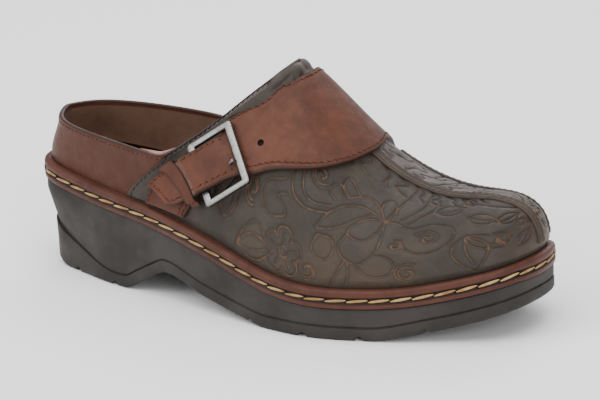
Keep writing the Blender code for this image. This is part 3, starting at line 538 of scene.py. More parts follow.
class Wiring:
    """Adds and links the nodes of one material or node group."""

    def __init__(self, tree: bpy.types.NodeTree) -> None:
        """Keep the tree that the nodes go into."""
        self.tree = tree

    def node(self, kind: str, inputs: dict | None = None, **settings: object) -> bpy.types.Node:
        """Add a node.

        Args:
            kind: the node's type, without "ShaderNode".
            inputs: values or output sockets, by input name or index.
            **settings: the node's own properties.

        Returns:
            The node.
        """
        node = self.tree.nodes.new("ShaderNode" + kind)
        for key, value in settings.items():
            setattr(node, key, value)
        for key, value in (inputs or {}).items():
            self.put(node.inputs[key], value)
        return node

    def put(self, socket: bpy.types.NodeSocket, value: object) -> None:
        """Link an output to a socket, or set the socket's own value."""
        if isinstance(value, bpy.types.NodeSocket):
            self.tree.links.new(value, socket)
        else:
            socket.default_value = value

    def noise(self, vector: object, scale: float, detail: float = 4.0, roughness: float = 0.55) -> bpy.types.NodeSocket:
        """The value of a noise texture."""
        inputs = {"Vector": vector, "Scale": scale, "Detail": detail, "Roughness": roughness}
        return self.node("TexNoise", inputs).outputs[0]

    def span(self, value: object, low: float, high: float, start: float = 0.0, end: float = 1.0) -> bpy.types.NodeSocket:
        """A value mapped smoothly from low..high to start..end."""
        inputs = {0: value, 1: low, 2: high, 3: start, 4: end}
        return self.node("MapRange", inputs, interpolation_type="SMOOTHSTEP").outputs[0]

    def math(self, operation: str, *values: object) -> bpy.types.NodeSocket:
        """A sum, product or other operation on values."""
        return self.node("Math", dict(enumerate(values)), operation=operation).outputs[0]

    def mix(self, factor: object, first: object, second: object, blend: str = "MIX") -> bpy.types.NodeSocket:
        """Two colours mixed by a factor."""
        node = self.node("Mix", data_type="RGBA", blend_type=blend)
        for index, value in ((0, factor), (6, first), (7, second)):
            self.put(node.inputs[index], (*value, 1.0) if isinstance(value, tuple) else value)
        return node.outputs[2]

    def coordinates(self) -> bpy.types.NodeSocket:
        """The piece's own Object coordinates."""
        return self.node("TexCoord").outputs["Object"]

    def attribute(self, name: str) -> bpy.types.NodeSocket:
        """A number stored at the vertices."""
        return self.node("Attribute", attribute_name=name).outputs["Fac"]

    def group(self, tree: bpy.types.NodeTree, inputs: dict) -> bpy.types.Node:
        """Place a shared node group."""
        node = self.node("Group", node_tree=tree)
        for key, value in inputs.items():
            self.put(node.inputs[key], value)
        return node


def new_group(name: str, inputs: dict[str, tuple[str, object]], outputs: Sequence[str]) -> tuple[Wiring, dict, bpy.types.Node]:
    """Start a shared node group.

    Args:
        name: the group's name.
        inputs: socket type and first value of each input, by name.
        outputs: names of the outputs, all plain numbers.

    Returns:
        The wiring, the group's input sockets by name, and its output node.
    """
    tree = bpy.data.node_groups.new(name, "ShaderNodeTree")
    for key, (kind, value) in inputs.items():
        socket = tree.interface.new_socket(key, in_out="INPUT", socket_type=kind)
        if value is not None:
            socket.default_value = value
    for key in outputs:
        tree.interface.new_socket(key, in_out="OUTPUT", socket_type="NodeSocketFloat")
    wiring = Wiring(tree)
    start = tree.nodes.new("NodeGroupInput")
    end = tree.nodes.new("NodeGroupOutput")
    return wiring, {key: start.outputs[key] for key in inputs}, end


class SharedGroups:
    """The effects that several finishes use, each built once."""

    def __init__(self) -> None:
        """Build the groups."""
        self.hide = self._hide()
        self.edge = self._edge()
        self.speckle = self._speckle()
        self.twist = self._twist()

    def _hide(self) -> bpy.types.NodeTree:
        """Oiled hide: mottled tone, fine pores, soft creases and scuffs."""
        vector, number = "NodeSocketVector", "NodeSocketFloat"
        inputs = {"Vector": (vector, None), "Pores": (number, 1500.0), "Mottle": (number, 40.0), "Crease": (number, 1.0)}
        wires, given, end = new_group("oiled_hide", inputs, ("Tone", "Height", "Scuff"))
        mottle = wires.noise(given["Vector"], given["Mottle"], 5.0, 0.6)
        cloud = wires.noise(given["Vector"], wires.math("MULTIPLY", given["Mottle"], 4.3), 3.0, 0.6)
        tone = wires.math("ADD", wires.math("MULTIPLY", mottle, 0.65), wires.math("MULTIPLY", cloud, 0.35))
        wires.put(end.inputs["Tone"], wires.span(tone, 0.3, 0.7))
        cells = wires.node("TexVoronoi", {"Vector": given["Vector"], "Scale": given["Pores"]}, feature="DISTANCE_TO_EDGE")
        pores = wires.span(cells.outputs["Distance"], 0.0, 0.22)
        grain = wires.noise(given["Vector"], wires.math("MULTIPLY", given["Pores"], 0.45), 3.0)
        warped = wires.noise(given["Vector"], 90.0, 6.0, 0.62)
        crease = wires.math("MULTIPLY", wires.span(warped, 0.42, 0.56), given["Crease"])
        fine = wires.math("ADD", wires.math("MULTIPLY", pores, 0.35), wires.math("MULTIPLY", grain, 0.5))
        wires.put(end.inputs["Height"], wires.math("ADD", fine, wires.math("MULTIPLY", crease, 1.4)))
        stretch = wires.node("Mapping", {"Vector": given["Vector"], "Rotation": (0.3, 0.5, 0.9), "Scale": (60, 420, 120)})
        streak = wires.noise(stretch.outputs[0], 1.0, 5.0, 0.7)
        wires.put(end.inputs["Scuff"], wires.math("MULTIPLY", wires.span(streak, 0.62, 0.74), wires.span(mottle, 0.45, 0.6)))
        return wires.tree

    def _edge(self) -> bpy.types.NodeTree:
        """A mask of a piece's rim, from its distance to the edge in millimetres."""
        number = "NodeSocketFloat"
        inputs = {"Vector": ("NodeSocketVector", None), "Distance": (number, 0.0), "Width": (number, 1.0)}
        wires, given, end = new_group("burnished_edge", inputs, ("Mask",))
        wobble = wires.noise(given["Vector"], 260.0, 2.0)
        reach = wires.math("ADD", given["Width"], wires.math("MULTIPLY", wires.math("SUBTRACT", wobble, 0.5), 0.8))
        ratio = wires.math("DIVIDE", given["Distance"], wires.math("MAXIMUM", reach, 0.05))
        wires.put(end.inputs["Mask"], wires.span(ratio, 0.5, 1.3, 1.0, 0.0))
        return wires.tree

    def _speckle(self) -> bpy.types.NodeTree:
        """Moulded rubber: faint speckle, cloudy bloom and a matt skin."""
        inputs = {"Vector": ("NodeSocketVector", None), "Grain": ("NodeSocketFloat", 2200.0)}
        wires, given, end = new_group("moulded_skin", inputs, ("Tone", "Height"))
        cloud = wires.noise(given["Vector"], 34.0, 5.0, 0.6)
        speck = wires.noise(given["Vector"], given["Grain"], 2.0)
        wires.put(end.inputs["Tone"], wires.span(cloud, 0.32, 0.68))
        wires.put(end.inputs["Height"], wires.math("ADD", speck, wires.math("MULTIPLY", cloud, 0.8)))
        return wires.tree

    def _twist(self) -> bpy.types.NodeTree:
        """Waxed thread: its strands and the uneven dye."""
        inputs = {"Vector": ("NodeSocketVector", None), "Strands": ("NodeSocketFloat", 900.0)}
        wires, given, end = new_group("thread_twist", inputs, ("Tone", "Height"))
        wave = wires.node("TexWave", {"Vector": given["Vector"], "Scale": given["Strands"], "Distortion": 2.5, "Detail": 1.0})
        wave.bands_direction = "DIAGONAL"
        wires.put(end.inputs["Height"], wave.outputs["Fac"])
        wires.put(end.inputs["Tone"], wires.span(wires.noise(given["Vector"], 150.0), 0.3, 0.7))
        return wires.tree


@dataclass(frozen=True)
class LeatherFinish:
    """An oiled leather, with its burnished edge and scuffs; on the welt the edge colour is painted shade in the stitch
    groove.
    """

    name: str
    base: Colour
    dark: Colour
    light: Colour
    edge: Colour
    roughness: float = 0.5
    pores: float = 1500.0
    mottle: float = 40.0
    crease: float = 0.6
    relief: float = 0.25
    edge_width: float = 0.9
    scuffs: float = 0.5
    sheen: float = 0.02
    gloss: float = 0.22

    def colour(self, wires: Wiring, hide: bpy.types.Node) -> bpy.types.NodeSocket:
        """The leather's colour before its edge is burnished."""
        toned = wires.mix(hide.outputs["Tone"], self.dark, self.base)
        scuff = wires.math("MULTIPLY", hide.outputs["Scuff"], self.scuffs)
        return wires.mix(scuff, toned, self.light)

    def make(self, groups: SharedGroups) -> bpy.types.Material:
        """Build the material.

        Args:
            groups: the shared node groups.

        Returns:
            The material.
        """
        material = bpy.data.materials.new(self.name)
        material.use_nodes = True
        wires = Wiring(material.node_tree)
        shader = material.node_tree.nodes["Principled BSDF"]
        where = wires.coordinates()
        hide = wires.group(
            groups.hide, {"Vector": where, "Pores": self.pores, "Mottle": self.mottle, "Crease": self.crease}
        )
        colour = self.colour(wires, hide)
        rim = wires.group(
            groups.edge, {"Vector": where, "Distance": wires.attribute("rim"), "Width": self.edge_width}
        )
        wires.put(shader.inputs["Base Color"], wires.mix(rim.outputs["Mask"], colour, self.edge))
        rough = wires.span(hide.outputs["Tone"], 0.0, 1.0, self.roughness + 0.08, self.roughness - 0.06)
        wires.put(shader.inputs["Roughness"], rough)
        bump = wires.node("Bump", {"Strength": self.relief, "Distance": 0.4 * MM, "Height": hide.outputs["Height"]})
        wires.put(shader.inputs["Normal"], bump.outputs[0])
        shader.inputs["Sheen Weight"].default_value = self.sheen
        shader.inputs["Specular IOR Level"].default_value = self.gloss
        return material


@dataclass(frozen=True)
class TooledFinish(LeatherFinish):
    """Vamp leather with tan worn cut lines, painted shade on the ground beside them, and a lighter strip that is partly
    its own leather and partly a painted sheen.
    """

    cut: Colour = (0.105, 0.053, 0.026)
    # lip: dark colour of the painted shade on the ground beside each cut.
    lip: Colour = (0.013, 0.0105, 0.0085)
    warm: Colour = (0.062, 0.040, 0.024)
    # strip: lighter purplish grey near the top of the vamp, partly the strip leather's own tone and partly a painted
    # sheen.
    strip: Colour = (0.110, 0.088, 0.086)

    def colour(self, wires: Wiring, hide: bpy.types.Node) -> bpy.types.NodeSocket:
        """The tooled leather's colour, with painted shade beside the cuts and a painted sheen on the strip, before its
        edge is burnished.
        """
        where = wires.coordinates()
        toned = super().colour(wires, hide)
        patch = wires.span(wires.noise(where, 18.0, 3.0), 0.5, 0.66)
        toned = wires.mix(wires.math("MULTIPLY", patch, 0.5), toned, self.warm)
        # Partly the strip's own tone, partly a painted sheen: the top of the vamp is lightened in patches towards the
        # strip colour.
        strip_tint_and_sheen = wires.math("MULTIPLY", wires.attribute("strip"), wires.span(wires.noise(where, 70.0), 0.35, 0.6))
        toned = wires.mix(wires.math("MULTIPLY", strip_tint_and_sheen, 0.7), toned, self.strip)
        distance = wires.attribute("tool")
        frayed = wires.math("ADD", distance, wires.math("MULTIPLY", wires.noise(where, 420.0, 2.0), 0.5))
        # Painted shade: the ground within about two millimetres of each cut is darkened towards the lip colour.
        toned = wires.mix(wires.math("MULTIPLY", wires.span(frayed, 1.9, 0.6), 0.45), toned, self.lip)
        worn = wires.span(wires.noise(where, 150.0, 5.0), 0.38, 0.58, 0.25, 0.95)
        return wires.mix(wires.math("MULTIPLY", worn, wires.span(frayed, 0.66, 0.36)), toned, self.cut)


@dataclass(frozen=True)
class PlainFinish:
    """A finish with a speckled or twisted skin and no edge of its own."""

    name: str
    base: Colour
    dark: Colour
    roughness: float
    group: str
    scale: float
    relief: float = 0.2
    gloss: float = 0.2

    def make(self, groups: SharedGroups) -> bpy.types.Material:
        """Build the material from one of the shared groups."""
        material = bpy.data.materials.new(self.name)
        material.use_nodes = True
        wires = Wiring(material.node_tree)
        shader = material.node_tree.nodes["Principled BSDF"]
        tree = getattr(groups, self.group)
        key = "Grain" if self.group == "speckle" else "Strands"
        skin = wires.group(tree, {"Vector": wires.coordinates(), key: self.scale})
        wires.put(shader.inputs["Base Color"], wires.mix(skin.outputs["Tone"], self.dark, self.base))
        rough = wires.span(skin.outputs["Tone"], 0.0, 1.0, self.roughness + 0.08, self.roughness - 0.05)
        wires.put(shader.inputs["Roughness"], rough)
        bump = wires.node("Bump", {"Strength": self.relief, "Distance": 0.2 * MM, "Height": skin.outputs["Height"]})
        wires.put(shader.inputs["Normal"], bump.outputs[0])
        shader.inputs["Specular IOR Level"].default_value = self.gloss
        return material


@dataclass(frozen=True)
class MetalFinish:
    """Brushed buckle metal, with fine scratches along the bars."""

    name: str
    base: Colour
    dark: Colour
    roughness: float = 0.28

    def make(self, groups: SharedGroups) -> bpy.types.Material:
        """Build the material."""
        material = bpy.data.materials.new(self.name)
        material.use_nodes = True
        wires = Wiring(material.node_tree)
        shader = material.node_tree.nodes["Principled BSDF"]
        where = wires.coordinates()
        drawn = wires.node("Mapping", {"Vector": where, "Rotation": (0.4, 0.2, 1.0), "Scale": (90, 3200, 3200)})
        brushed = wires.noise(drawn.outputs[0], 1.0, 3.0, 0.7)
        tarnish = wires.span(wires.noise(where, 160.0, 4.0), 0.5, 0.72)
        wires.put(shader.inputs["Base Color"], wires.mix(wires.math("MULTIPLY", tarnish, 0.6), self.base, self.dark))
        wires.put(shader.inputs["Roughness"], wires.span(brushed, 0.3, 0.7, self.roughness - 0.06, self.roughness + 0.14))
        bump = wires.node("Bump", {"Strength": 0.06, "Distance": 0.02 * MM, "Height": brushed})
        wires.put(shader.inputs["Normal"], bump.outputs[0])
        shader.inputs["Metallic"].default_value = 1.0
        return material


class Finishes:
    """Every finish of the shoe, by the name of what it covers."""

    def __init__(self) -> None:
        """Build the materials."""
        groups = SharedGroups()
        brown = dict(dark=(0.048, 0.0140, 0.0066), light=(0.140, 0.056, 0.026), edge=(0.030, 0.0105, 0.0055))
        self.quarter = LeatherFinish("quarter_leather", (0.066, 0.0195, 0.0098), **brown).make(groups)
        self.strap = LeatherFinish("strap_leather", (0.096, 0.0290, 0.0132), roughness=0.48, **brown).make(groups)
        self.anchor = LeatherFinish("anchor_leather", (0.072, 0.0198, 0.0098), **brown, roughness=0.58).make(groups)
        self.welt = LeatherFinish(
            "welt_leather",
            (0.076, 0.0240, 0.0140),
            dark=(0.044, 0.0135, 0.0082),
            light=(0.11, 0.048, 0.028),
            # On the welt this edge colour fills the stitch groove as painted shade.
            edge=(0.018, 0.007, 0.005),
            roughness=0.5,
            edge_width=0.4,
        ).make(groups)
        self.vamp = TooledFinish(
            "tooled_leather",
            (0.042, 0.0318, 0.0240),
            dark=(0.024, 0.0192, 0.0152),
            light=(0.062, 0.047, 0.034),
            edge=(0.020, 0.013, 0.009),
            roughness=0.5,
            mottle=26.0,
            crease=1.0,
            relief=0.35,
        ).make(groups)
        self.binding = LeatherFinish(
            "binding_leather",
            (0.056, 0.0385, 0.0275),
            dark=(0.028, 0.0200, 0.0150),
            light=(0.070, 0.045, 0.030),
            edge=(0.018, 0.011, 0.008),
            roughness=0.55,
        ).make(groups)
        self.lining = LeatherFinish(
            "lining_leather",
            (0.120, 0.062, 0.041),
            dark=(0.082, 0.042, 0.028),
            light=(0.13, 0.08, 0.05),
            edge=(0.06, 0.03, 0.02),
            roughness=0.7,
            crease=0.3,
            relief=0.15,
        ).make(groups)
        self.rubber = PlainFinish("moulded_rubber", (0.035, 0.0300, 0.0268), (0.0200, 0.0175, 0.0160), 0.55, "speckle", 2200.0).make(groups)
        self.tan_thread = PlainFinish("tan_thread", (0.42, 0.275, 0.115), (0.21, 0.115, 0.040), 0.6, "twist", 700.0, 0.5).make(groups)
        self.brown_thread = PlainFinish("brown_thread", (0.125, 0.032, 0.013), (0.055, 0.013, 0.006), 0.6, "twist", 1400.0, 0.4).make(groups)
        self.dark_thread = PlainFinish("dark_thread", (0.013, 0.0095, 0.0080), (0.006, 0.0045, 0.0040), 0.6, "twist", 1400.0, 0.4).make(groups)
        self.binding_thread = PlainFinish("tack_thread", (0.060, 0.042, 0.030), (0.030, 0.020, 0.014), 0.6, "twist", 1400.0).make(groups)
        # Near-black finish of the discs at the stitch ends: painted shade in the needle holes.
        self.hole = PlainFinish("needle_hole_shade", (0.006, 0.0035, 0.0028), (0.003, 0.0020, 0.0016), 0.85, "speckle", 900.0).make(groups)
        self.pink_edge = PlainFinish("lining_rim", (0.34, 0.20, 0.18), (0.17, 0.030, 0.026), 0.7, "speckle", 900.0).make(groups)
        self.buckle = MetalFinish("brushed_buckle", (0.215, 0.213, 0.206), (0.11, 0.105, 0.097)).make(groups)


@dataclass(frozen=True)
class Thread:
    """A stitch: its pitch along the seam, its length, its thickness and the lean of each stitch."""

    pitch: float
    length: float
    radius: float
    lean: float = 0.0
    rise: float = 0.35


def along_path(points: Array, ups: Array, pitch: float) -> Iterable[tuple[Array, Array, Array]]:
    """Places at an even pitch along a path.

    Args:
        points: the path.
        ups: the outward direction at each of its points.
        pitch: the distance between places.

    Yields:
        The place, the direction ahead and the outward direction.
    """
    reach = np.concatenate([[0], np.cumsum(np.linalg.norm(np.diff(points, axis=0), axis=1))])
    count = max(int(reach[-1] / pitch), 1)
    spots = (np.arange(count) + 0.5) * reach[-1] / count
    near = pitch * 0.3
    for spot in spots:
        here, ahead, behind = (
            np.array([np.interp(at, reach, points[:, k]) for k in range(3)]) for at in (spot, spot + near, spot - near)
        )
        up = unit(np.array([np.interp(spot, reach, ups[:, k]) for k in range(3)]))
        forward = ahead - behind
        forward = unit(forward - up * (forward @ up))
        yield here, forward, up


def sew(
    name: str,
    paths: Sequence[tuple[Array, Array]],
    thread: Thread,
    material: bpy.types.Material,
    holes: bpy.types.Material | None = None,
) -> list[bpy.types.Object]:
    """Stitches along paths, and dark discs of painted shade for the needle holes at their ends.

    Args:
        name: the row's name.
        paths: points and outward directions of each row.
        thread: the stitch.
        material: the thread's finish.
        holes: the finish of the painted-shade discs at the needle holes, or None for none.

    Returns:
        The new pieces.
    """
    stitches = bmesh.new()
    hole_shade_discs = bmesh.new()
    for points, ups in paths:
        for here, forward, up in along_path(points, ups, thread.pitch):
            across = np.cross(up, forward)
            turn = math.radians(thread.lean)
            ahead = forward * math.cos(turn) + across * math.sin(turn)
            side = np.cross(up, ahead)
            place = Matrix(np.column_stack([side * thread.radius, up * thread.radius * 0.8, ahead * thread.length / 2]).tolist())
            place = place.to_4x4()
            place.translation = Vector(here + up * thread.radius * thread.rise)
            bmesh.ops.create_uvsphere(stitches, u_segments=8, v_segments=6, radius=1.0, matrix=place)
            # Flat dark discs at both ends of each stitch: painted shade in the needle holes.
            if holes:
                for end in (-0.5, 0.5):
                    size = thread.radius * 1.05
                    spot = Matrix(np.column_stack([across * size, forward * size, up * size * 0.3]).tolist()).to_4x4()
                    spot.translation = Vector(here + ahead * (thread.length * end))
                    bmesh.ops.create_uvsphere(hole_shade_discs, u_segments=8, v_segments=4, radius=1.0, matrix=spot)
    pieces = [finish_shape(stitches, name, material, Facing.SOLID, 80.0)]
    if holes:
        pieces.append(finish_shape(hole_shade_discs, name + "_holes", holes, Facing.SOLID, 80.0))
    else:
        hole_shade_discs.free()
    return pieces


@dataclass
class Sole:
    """The moulded unit: side wall, ledge, tread layer with its grooves, and the heel's lip."""

    form: LastForm
    tread_layer: float = 6.0 * MM
    heel_lip: float = 19 * MM
    ledge_step: float = 1.0 * MM
    heel_tuck: float = 4.5 * MM
    heel_fade: float = 0.20
    tread_edge: float = 1.2 * MM
    overhang: float = 3.0 * MM
    groove_width: float = 3.0 * MM
    groove_depth: float = 1.8 * MM
    grooves: tuple[float, ...] = (0.084, 0.191, 0.533, 0.652, 0.754, 0.864)
    stations: int = 420
    inner_steps: int = 14

    def section(self, side: int, share: Array) -> Array:
        """Rows of the side profile at each station, from the upper edge to the tread.

        Args:
            side: LATERAL or MEDIAL.
            share: the stations.

        Returns:
            Points, as stations by rows by three.
        """
        form = self.form
        edge, normal = form.welt_line(side, share, self.overhang)
        back = 1 - ramp(edge[:, 0] / (form.length * self.heel_fade), 0.0, 1.0)
        top = form.bed(edge[:, 0])
        tread = form.tread(edge[:, 0])
        lip = back * (self.heel_lip - self.tread_layer)
        ledge = np.minimum(tread + self.tread_layer + lip, top - self.ledge_step * 4)
        tuck = self.heel_tuck * back
        step = self.ledge_step
        rows = [
            (-0.8 * MM + 0 * top, top),
            (-0.2 * MM + 0 * top, top - 0.15 * MM),
            (0 * top, top - 0.7 * MM),
            (0 * top, top - (top - ledge) * 0.25),
            (-tuck * 0.33, top - (top - ledge) * 0.5),
            (-tuck * 0.68, top - (top - ledge) * 0.75),
            (-tuck, ledge + step * 1.1),
            (-tuck - step * 0.35, ledge + step * 0.75),
            (-tuck - step * 0.75, ledge + step * 0.35),
            (-tuck - step * 0.55, ledge + step * 0.05),
            (step * (0.05 + back) - tuck, ledge - step * 0.1),
            (step * (0.2 + back) - tuck, ledge - step * 0.55),
            (step * (0.2 + back * 0.5) - tuck, ledge - (ledge - tread) * 0.5),
            (step * 0.2 - tuck * 0.9, tread + self.tread_edge * 1.3),
            (-self.tread_edge * 0.3 - tuck * 0.9, tread + self.tread_edge * 0.35),
            (-self.tread_edge - tuck * 0.9, tread),
        ]
        points = [np.concatenate([edge + normal * out[:, None], height[:, None]], axis=1) for out, height in rows]
        points[-1][:, 2] = form.tread(points[-1][:, 0])
        return np.stack(points, axis=1)

    def groove(self, x: Array) -> Array:
        """How deep the tread is cut at places along the shoe."""
        depth = np.zeros_like(x)
        for along in self.grooves:
            away = np.abs(x - along * self.form.length)
            depth = np.maximum(depth, 1 - ramp(away, self.groove_width * 0.32, self.groove_width * 0.56))
        return depth * self.groove_depth

    def build(self, finishes: Finishes) -> list[bpy.types.Object]:
        """The sole as one closed mesh of rings."""
        half = self.stations // 2
        share = 0.5 - 0.5 * np.cos(np.linspace(0, math.pi, half + 1)) * 0.35 - 0.65 * (0.5 - np.linspace(0, 1, half + 1))
        sides = {side: self.section(side, share) for side in (LATERAL, MEDIAL)}
        count = sides[LATERAL].shape[1]
        caps = 3
        total = caps + count - 1 + self.inner_steps

        def place(u: Array, v: Array) -> Array:
            station = np.rint(u * 2 * half).astype(int)
            row = np.rint(v * total).astype(int)
            lateral = station <= half
            at = np.where(lateral, station, 2 * half - station)
            own = np.where(lateral[:, None, None], sides[LATERAL][at], sides[MEDIAL][at])
            other = np.where(lateral[:, None, None], sides[MEDIAL][at], sides[LATERAL][at])
            level = np.clip(row - caps, 0, count - 1)
            picked = np.arange(len(row))
            point = own[picked, level]
            middle = (point + other[picked, level]) / 2
            inwards = np.where(row < caps, (caps - row) / caps, np.clip((row - caps - count + 1) / self.inner_steps, 0, 1))
            point = point + (middle - point) * inwards[:, None]
            under = row >= caps + count - 1
            point[under, 2] = self.form.tread(point[under, 0])
            cut = self.groove(point[:, 0])
            reach = np.clip((row - caps - count + 4) / 2.0, 0, 1)
            point[:, 2] += cut * reach
            return point - self.form.origin

        shape = drape(2 * half, total, place)
        sole = finish_shape(shape, "moulded_sole", finishes.rubber, Facing.SOLID, 32.0)
        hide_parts("sole")
        return [sole]


@dataclass
class Welt:
    """The stitched leather band between upper and sole."""

    form: LastForm
    gap: float = 0.3 * MM
    stations: int = 420
    stitch: Thread = Thread(pitch=10.0 * MM, length=10.6 * MM, radius=0.68 * MM, lean=5.0, rise=0.25)
    section: tuple = (
        (0.00, 0.00),
        (0.80, 0.00),
        (0.95, 0.02),
        (1.00, 0.08),
        (1.00, 0.20),
        (0.98, 0.26),
        (0.86, 0.31),
        (0.81, 0.36),
        (0.80, 0.45),
        (0.81, 0.53),
        (0.86, 0.58),
        (0.97, 0.62),
        (0.99, 0.68),
        (0.97, 0.80),
        (0.88, 0.90),
        (0.70, 0.96),
        (0.35, 1.00),
        (0.00, 1.00),
    )

    def line(self, out: float, height: float, side: int, share: Array) -> Array:
        """Points of the welt at a share of its width and of its rise."""
        form = self.form
        spot, _ = form.welt_line(side, share, self.gap + out * (form.welt_width - self.gap))
        level = form.bed(spot[:, 0]) + self.gap + height * (form.welt_rise - self.gap)
        return np.concatenate([spot, level[:, None]], axis=1) - form.origin

    def ring(self, out: float, height: float, points: int = 600) -> tuple[Array, Array]:
        """A path right round the welt, and its outward directions."""
        shares = np.linspace(0, 1, points // 2)
        paths, ups = [], []
        for side, run in ((LATERAL, shares), (MEDIAL, shares[::-1])):
            paths.append(self.line(out, height, side, run))
            _, normal = self.form.welt_line(side, run)
            ups.append(np.concatenate([normal, np.zeros((len(run), 1))], axis=1))
        return np.concatenate(paths), np.concatenate(ups)

    def build(self, finishes: Finishes) -> list[bpy.types.Object]:
        """The band and its thick stitches."""
        half = self.stations // 2
        rows = len(self.section)
        share = np.linspace(0, 1, half + 1)
        rings = {
            side: np.stack([self.line(out, height, side, share) for out, height in self.section], axis=1)
            for side in (LATERAL, MEDIAL)
        }

        def place(u: Array, v: Array) -> Array:
            station = np.rint(u * 2 * half).astype(int)
            row = np.rint(v * rows).astype(int) % rows
            lateral = station <= half
            at = np.where(lateral, station, 2 * half - station)
            return np.where(lateral[:, None], rings[LATERAL][at, row], rings[MEDIAL][at, row])

        # Rows 5 to 11 are the stitch groove: a rim distance of 0 gives them the dark edge colour, painted shade in the
        # groove.
        def rim(u: Array, v: Array) -> Array:
            row = np.rint(v * rows).astype(int) % rows
            return np.array([0.0 if 5 <= r <= 11 else 1.0 for r in row])

        band = finish_shape(drape(2 * half, rows, place, {"rim": rim}), "welt_band", finishes.welt, Facing.SOLID, 60.0)
        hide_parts("welt")
        stitches = sew("welt_stitches", [self.ring(0.86, 0.45)], self.stitch, finishes.tan_thread, finishes.hole)
        return [band, *stitches]


@dataclass
class Insole:
    """The leather footbed, a little cupped."""

    form: LastForm
    wall: float = 2.2 * MM
    gap: float = 0.3 * MM
    thickness: float = 4.5 * MM
    cup: float = 1.4 * MM
    stations: int = 240
    steps: int = 12

    def build(self, finishes: Finishes) -> list[bpy.types.Object]:
        """The footbed as one closed mesh."""
        form = self.form
        half = self.stations // 2
        share = np.linspace(0, 1, half + 1)
        inset = self.wall + 2 * self.gap
        profile = ((inset, self.gap), (inset, self.thickness * 0.7), (inset + 0.5 * MM, self.thickness * 0.9))
        profile += ((inset + self.thickness * 0.4, self.thickness),)
        edges = {}
        for side in (LATERAL, MEDIAL):
            rows = []
            for inwards, height in profile:
                spot, _ = form.welt_line(side, share, -inwards)
                rows.append(np.concatenate([spot, (form.bed(spot[:, 0]) + height)[:, None]], axis=1))
            edges[side] = np.stack(rows, axis=1)
        count = len(profile)
        total = self.steps + count - 1 + self.steps

        def place(u: Array, v: Array) -> Array:
            station = np.rint(u * 2 * half).astype(int)
            row = np.rint(v * total).astype(int)
            lateral = station <= half
            at = np.where(lateral, station, 2 * half - station)
            level = np.clip(row - self.steps, 0, count - 1)
            own = np.where(lateral[:, None], edges[LATERAL][at, level], edges[MEDIAL][at, level])
            other = np.where(lateral[:, None], edges[MEDIAL][at, level], edges[LATERAL][at, level])
            below = np.clip((self.steps - row) / self.steps, 0, 1)
            above = np.clip((row - self.steps - count + 1) / self.steps, 0, 1)
            inwards = np.maximum(below, above)
            point = own + ((own + other) / 2 - own) * inwards[:, None]
            bed = form.bed(point[:, 0])
            lift = np.where(below > 0, self.gap, np.where(above > 0, self.thickness - self.cup * ramp(above, 0, 0.7), 0))
            flat = (below > 0) | (above > 0)
            point[:, 2] = np.where(flat, bed + lift, point[:, 2])
            return point - form.origin

        bed = finish_shape(drape(2 * half, total, place), "footbed", finishes.lining, Facing.SOLID, 50.0)
        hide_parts("insole")
        return [bed]


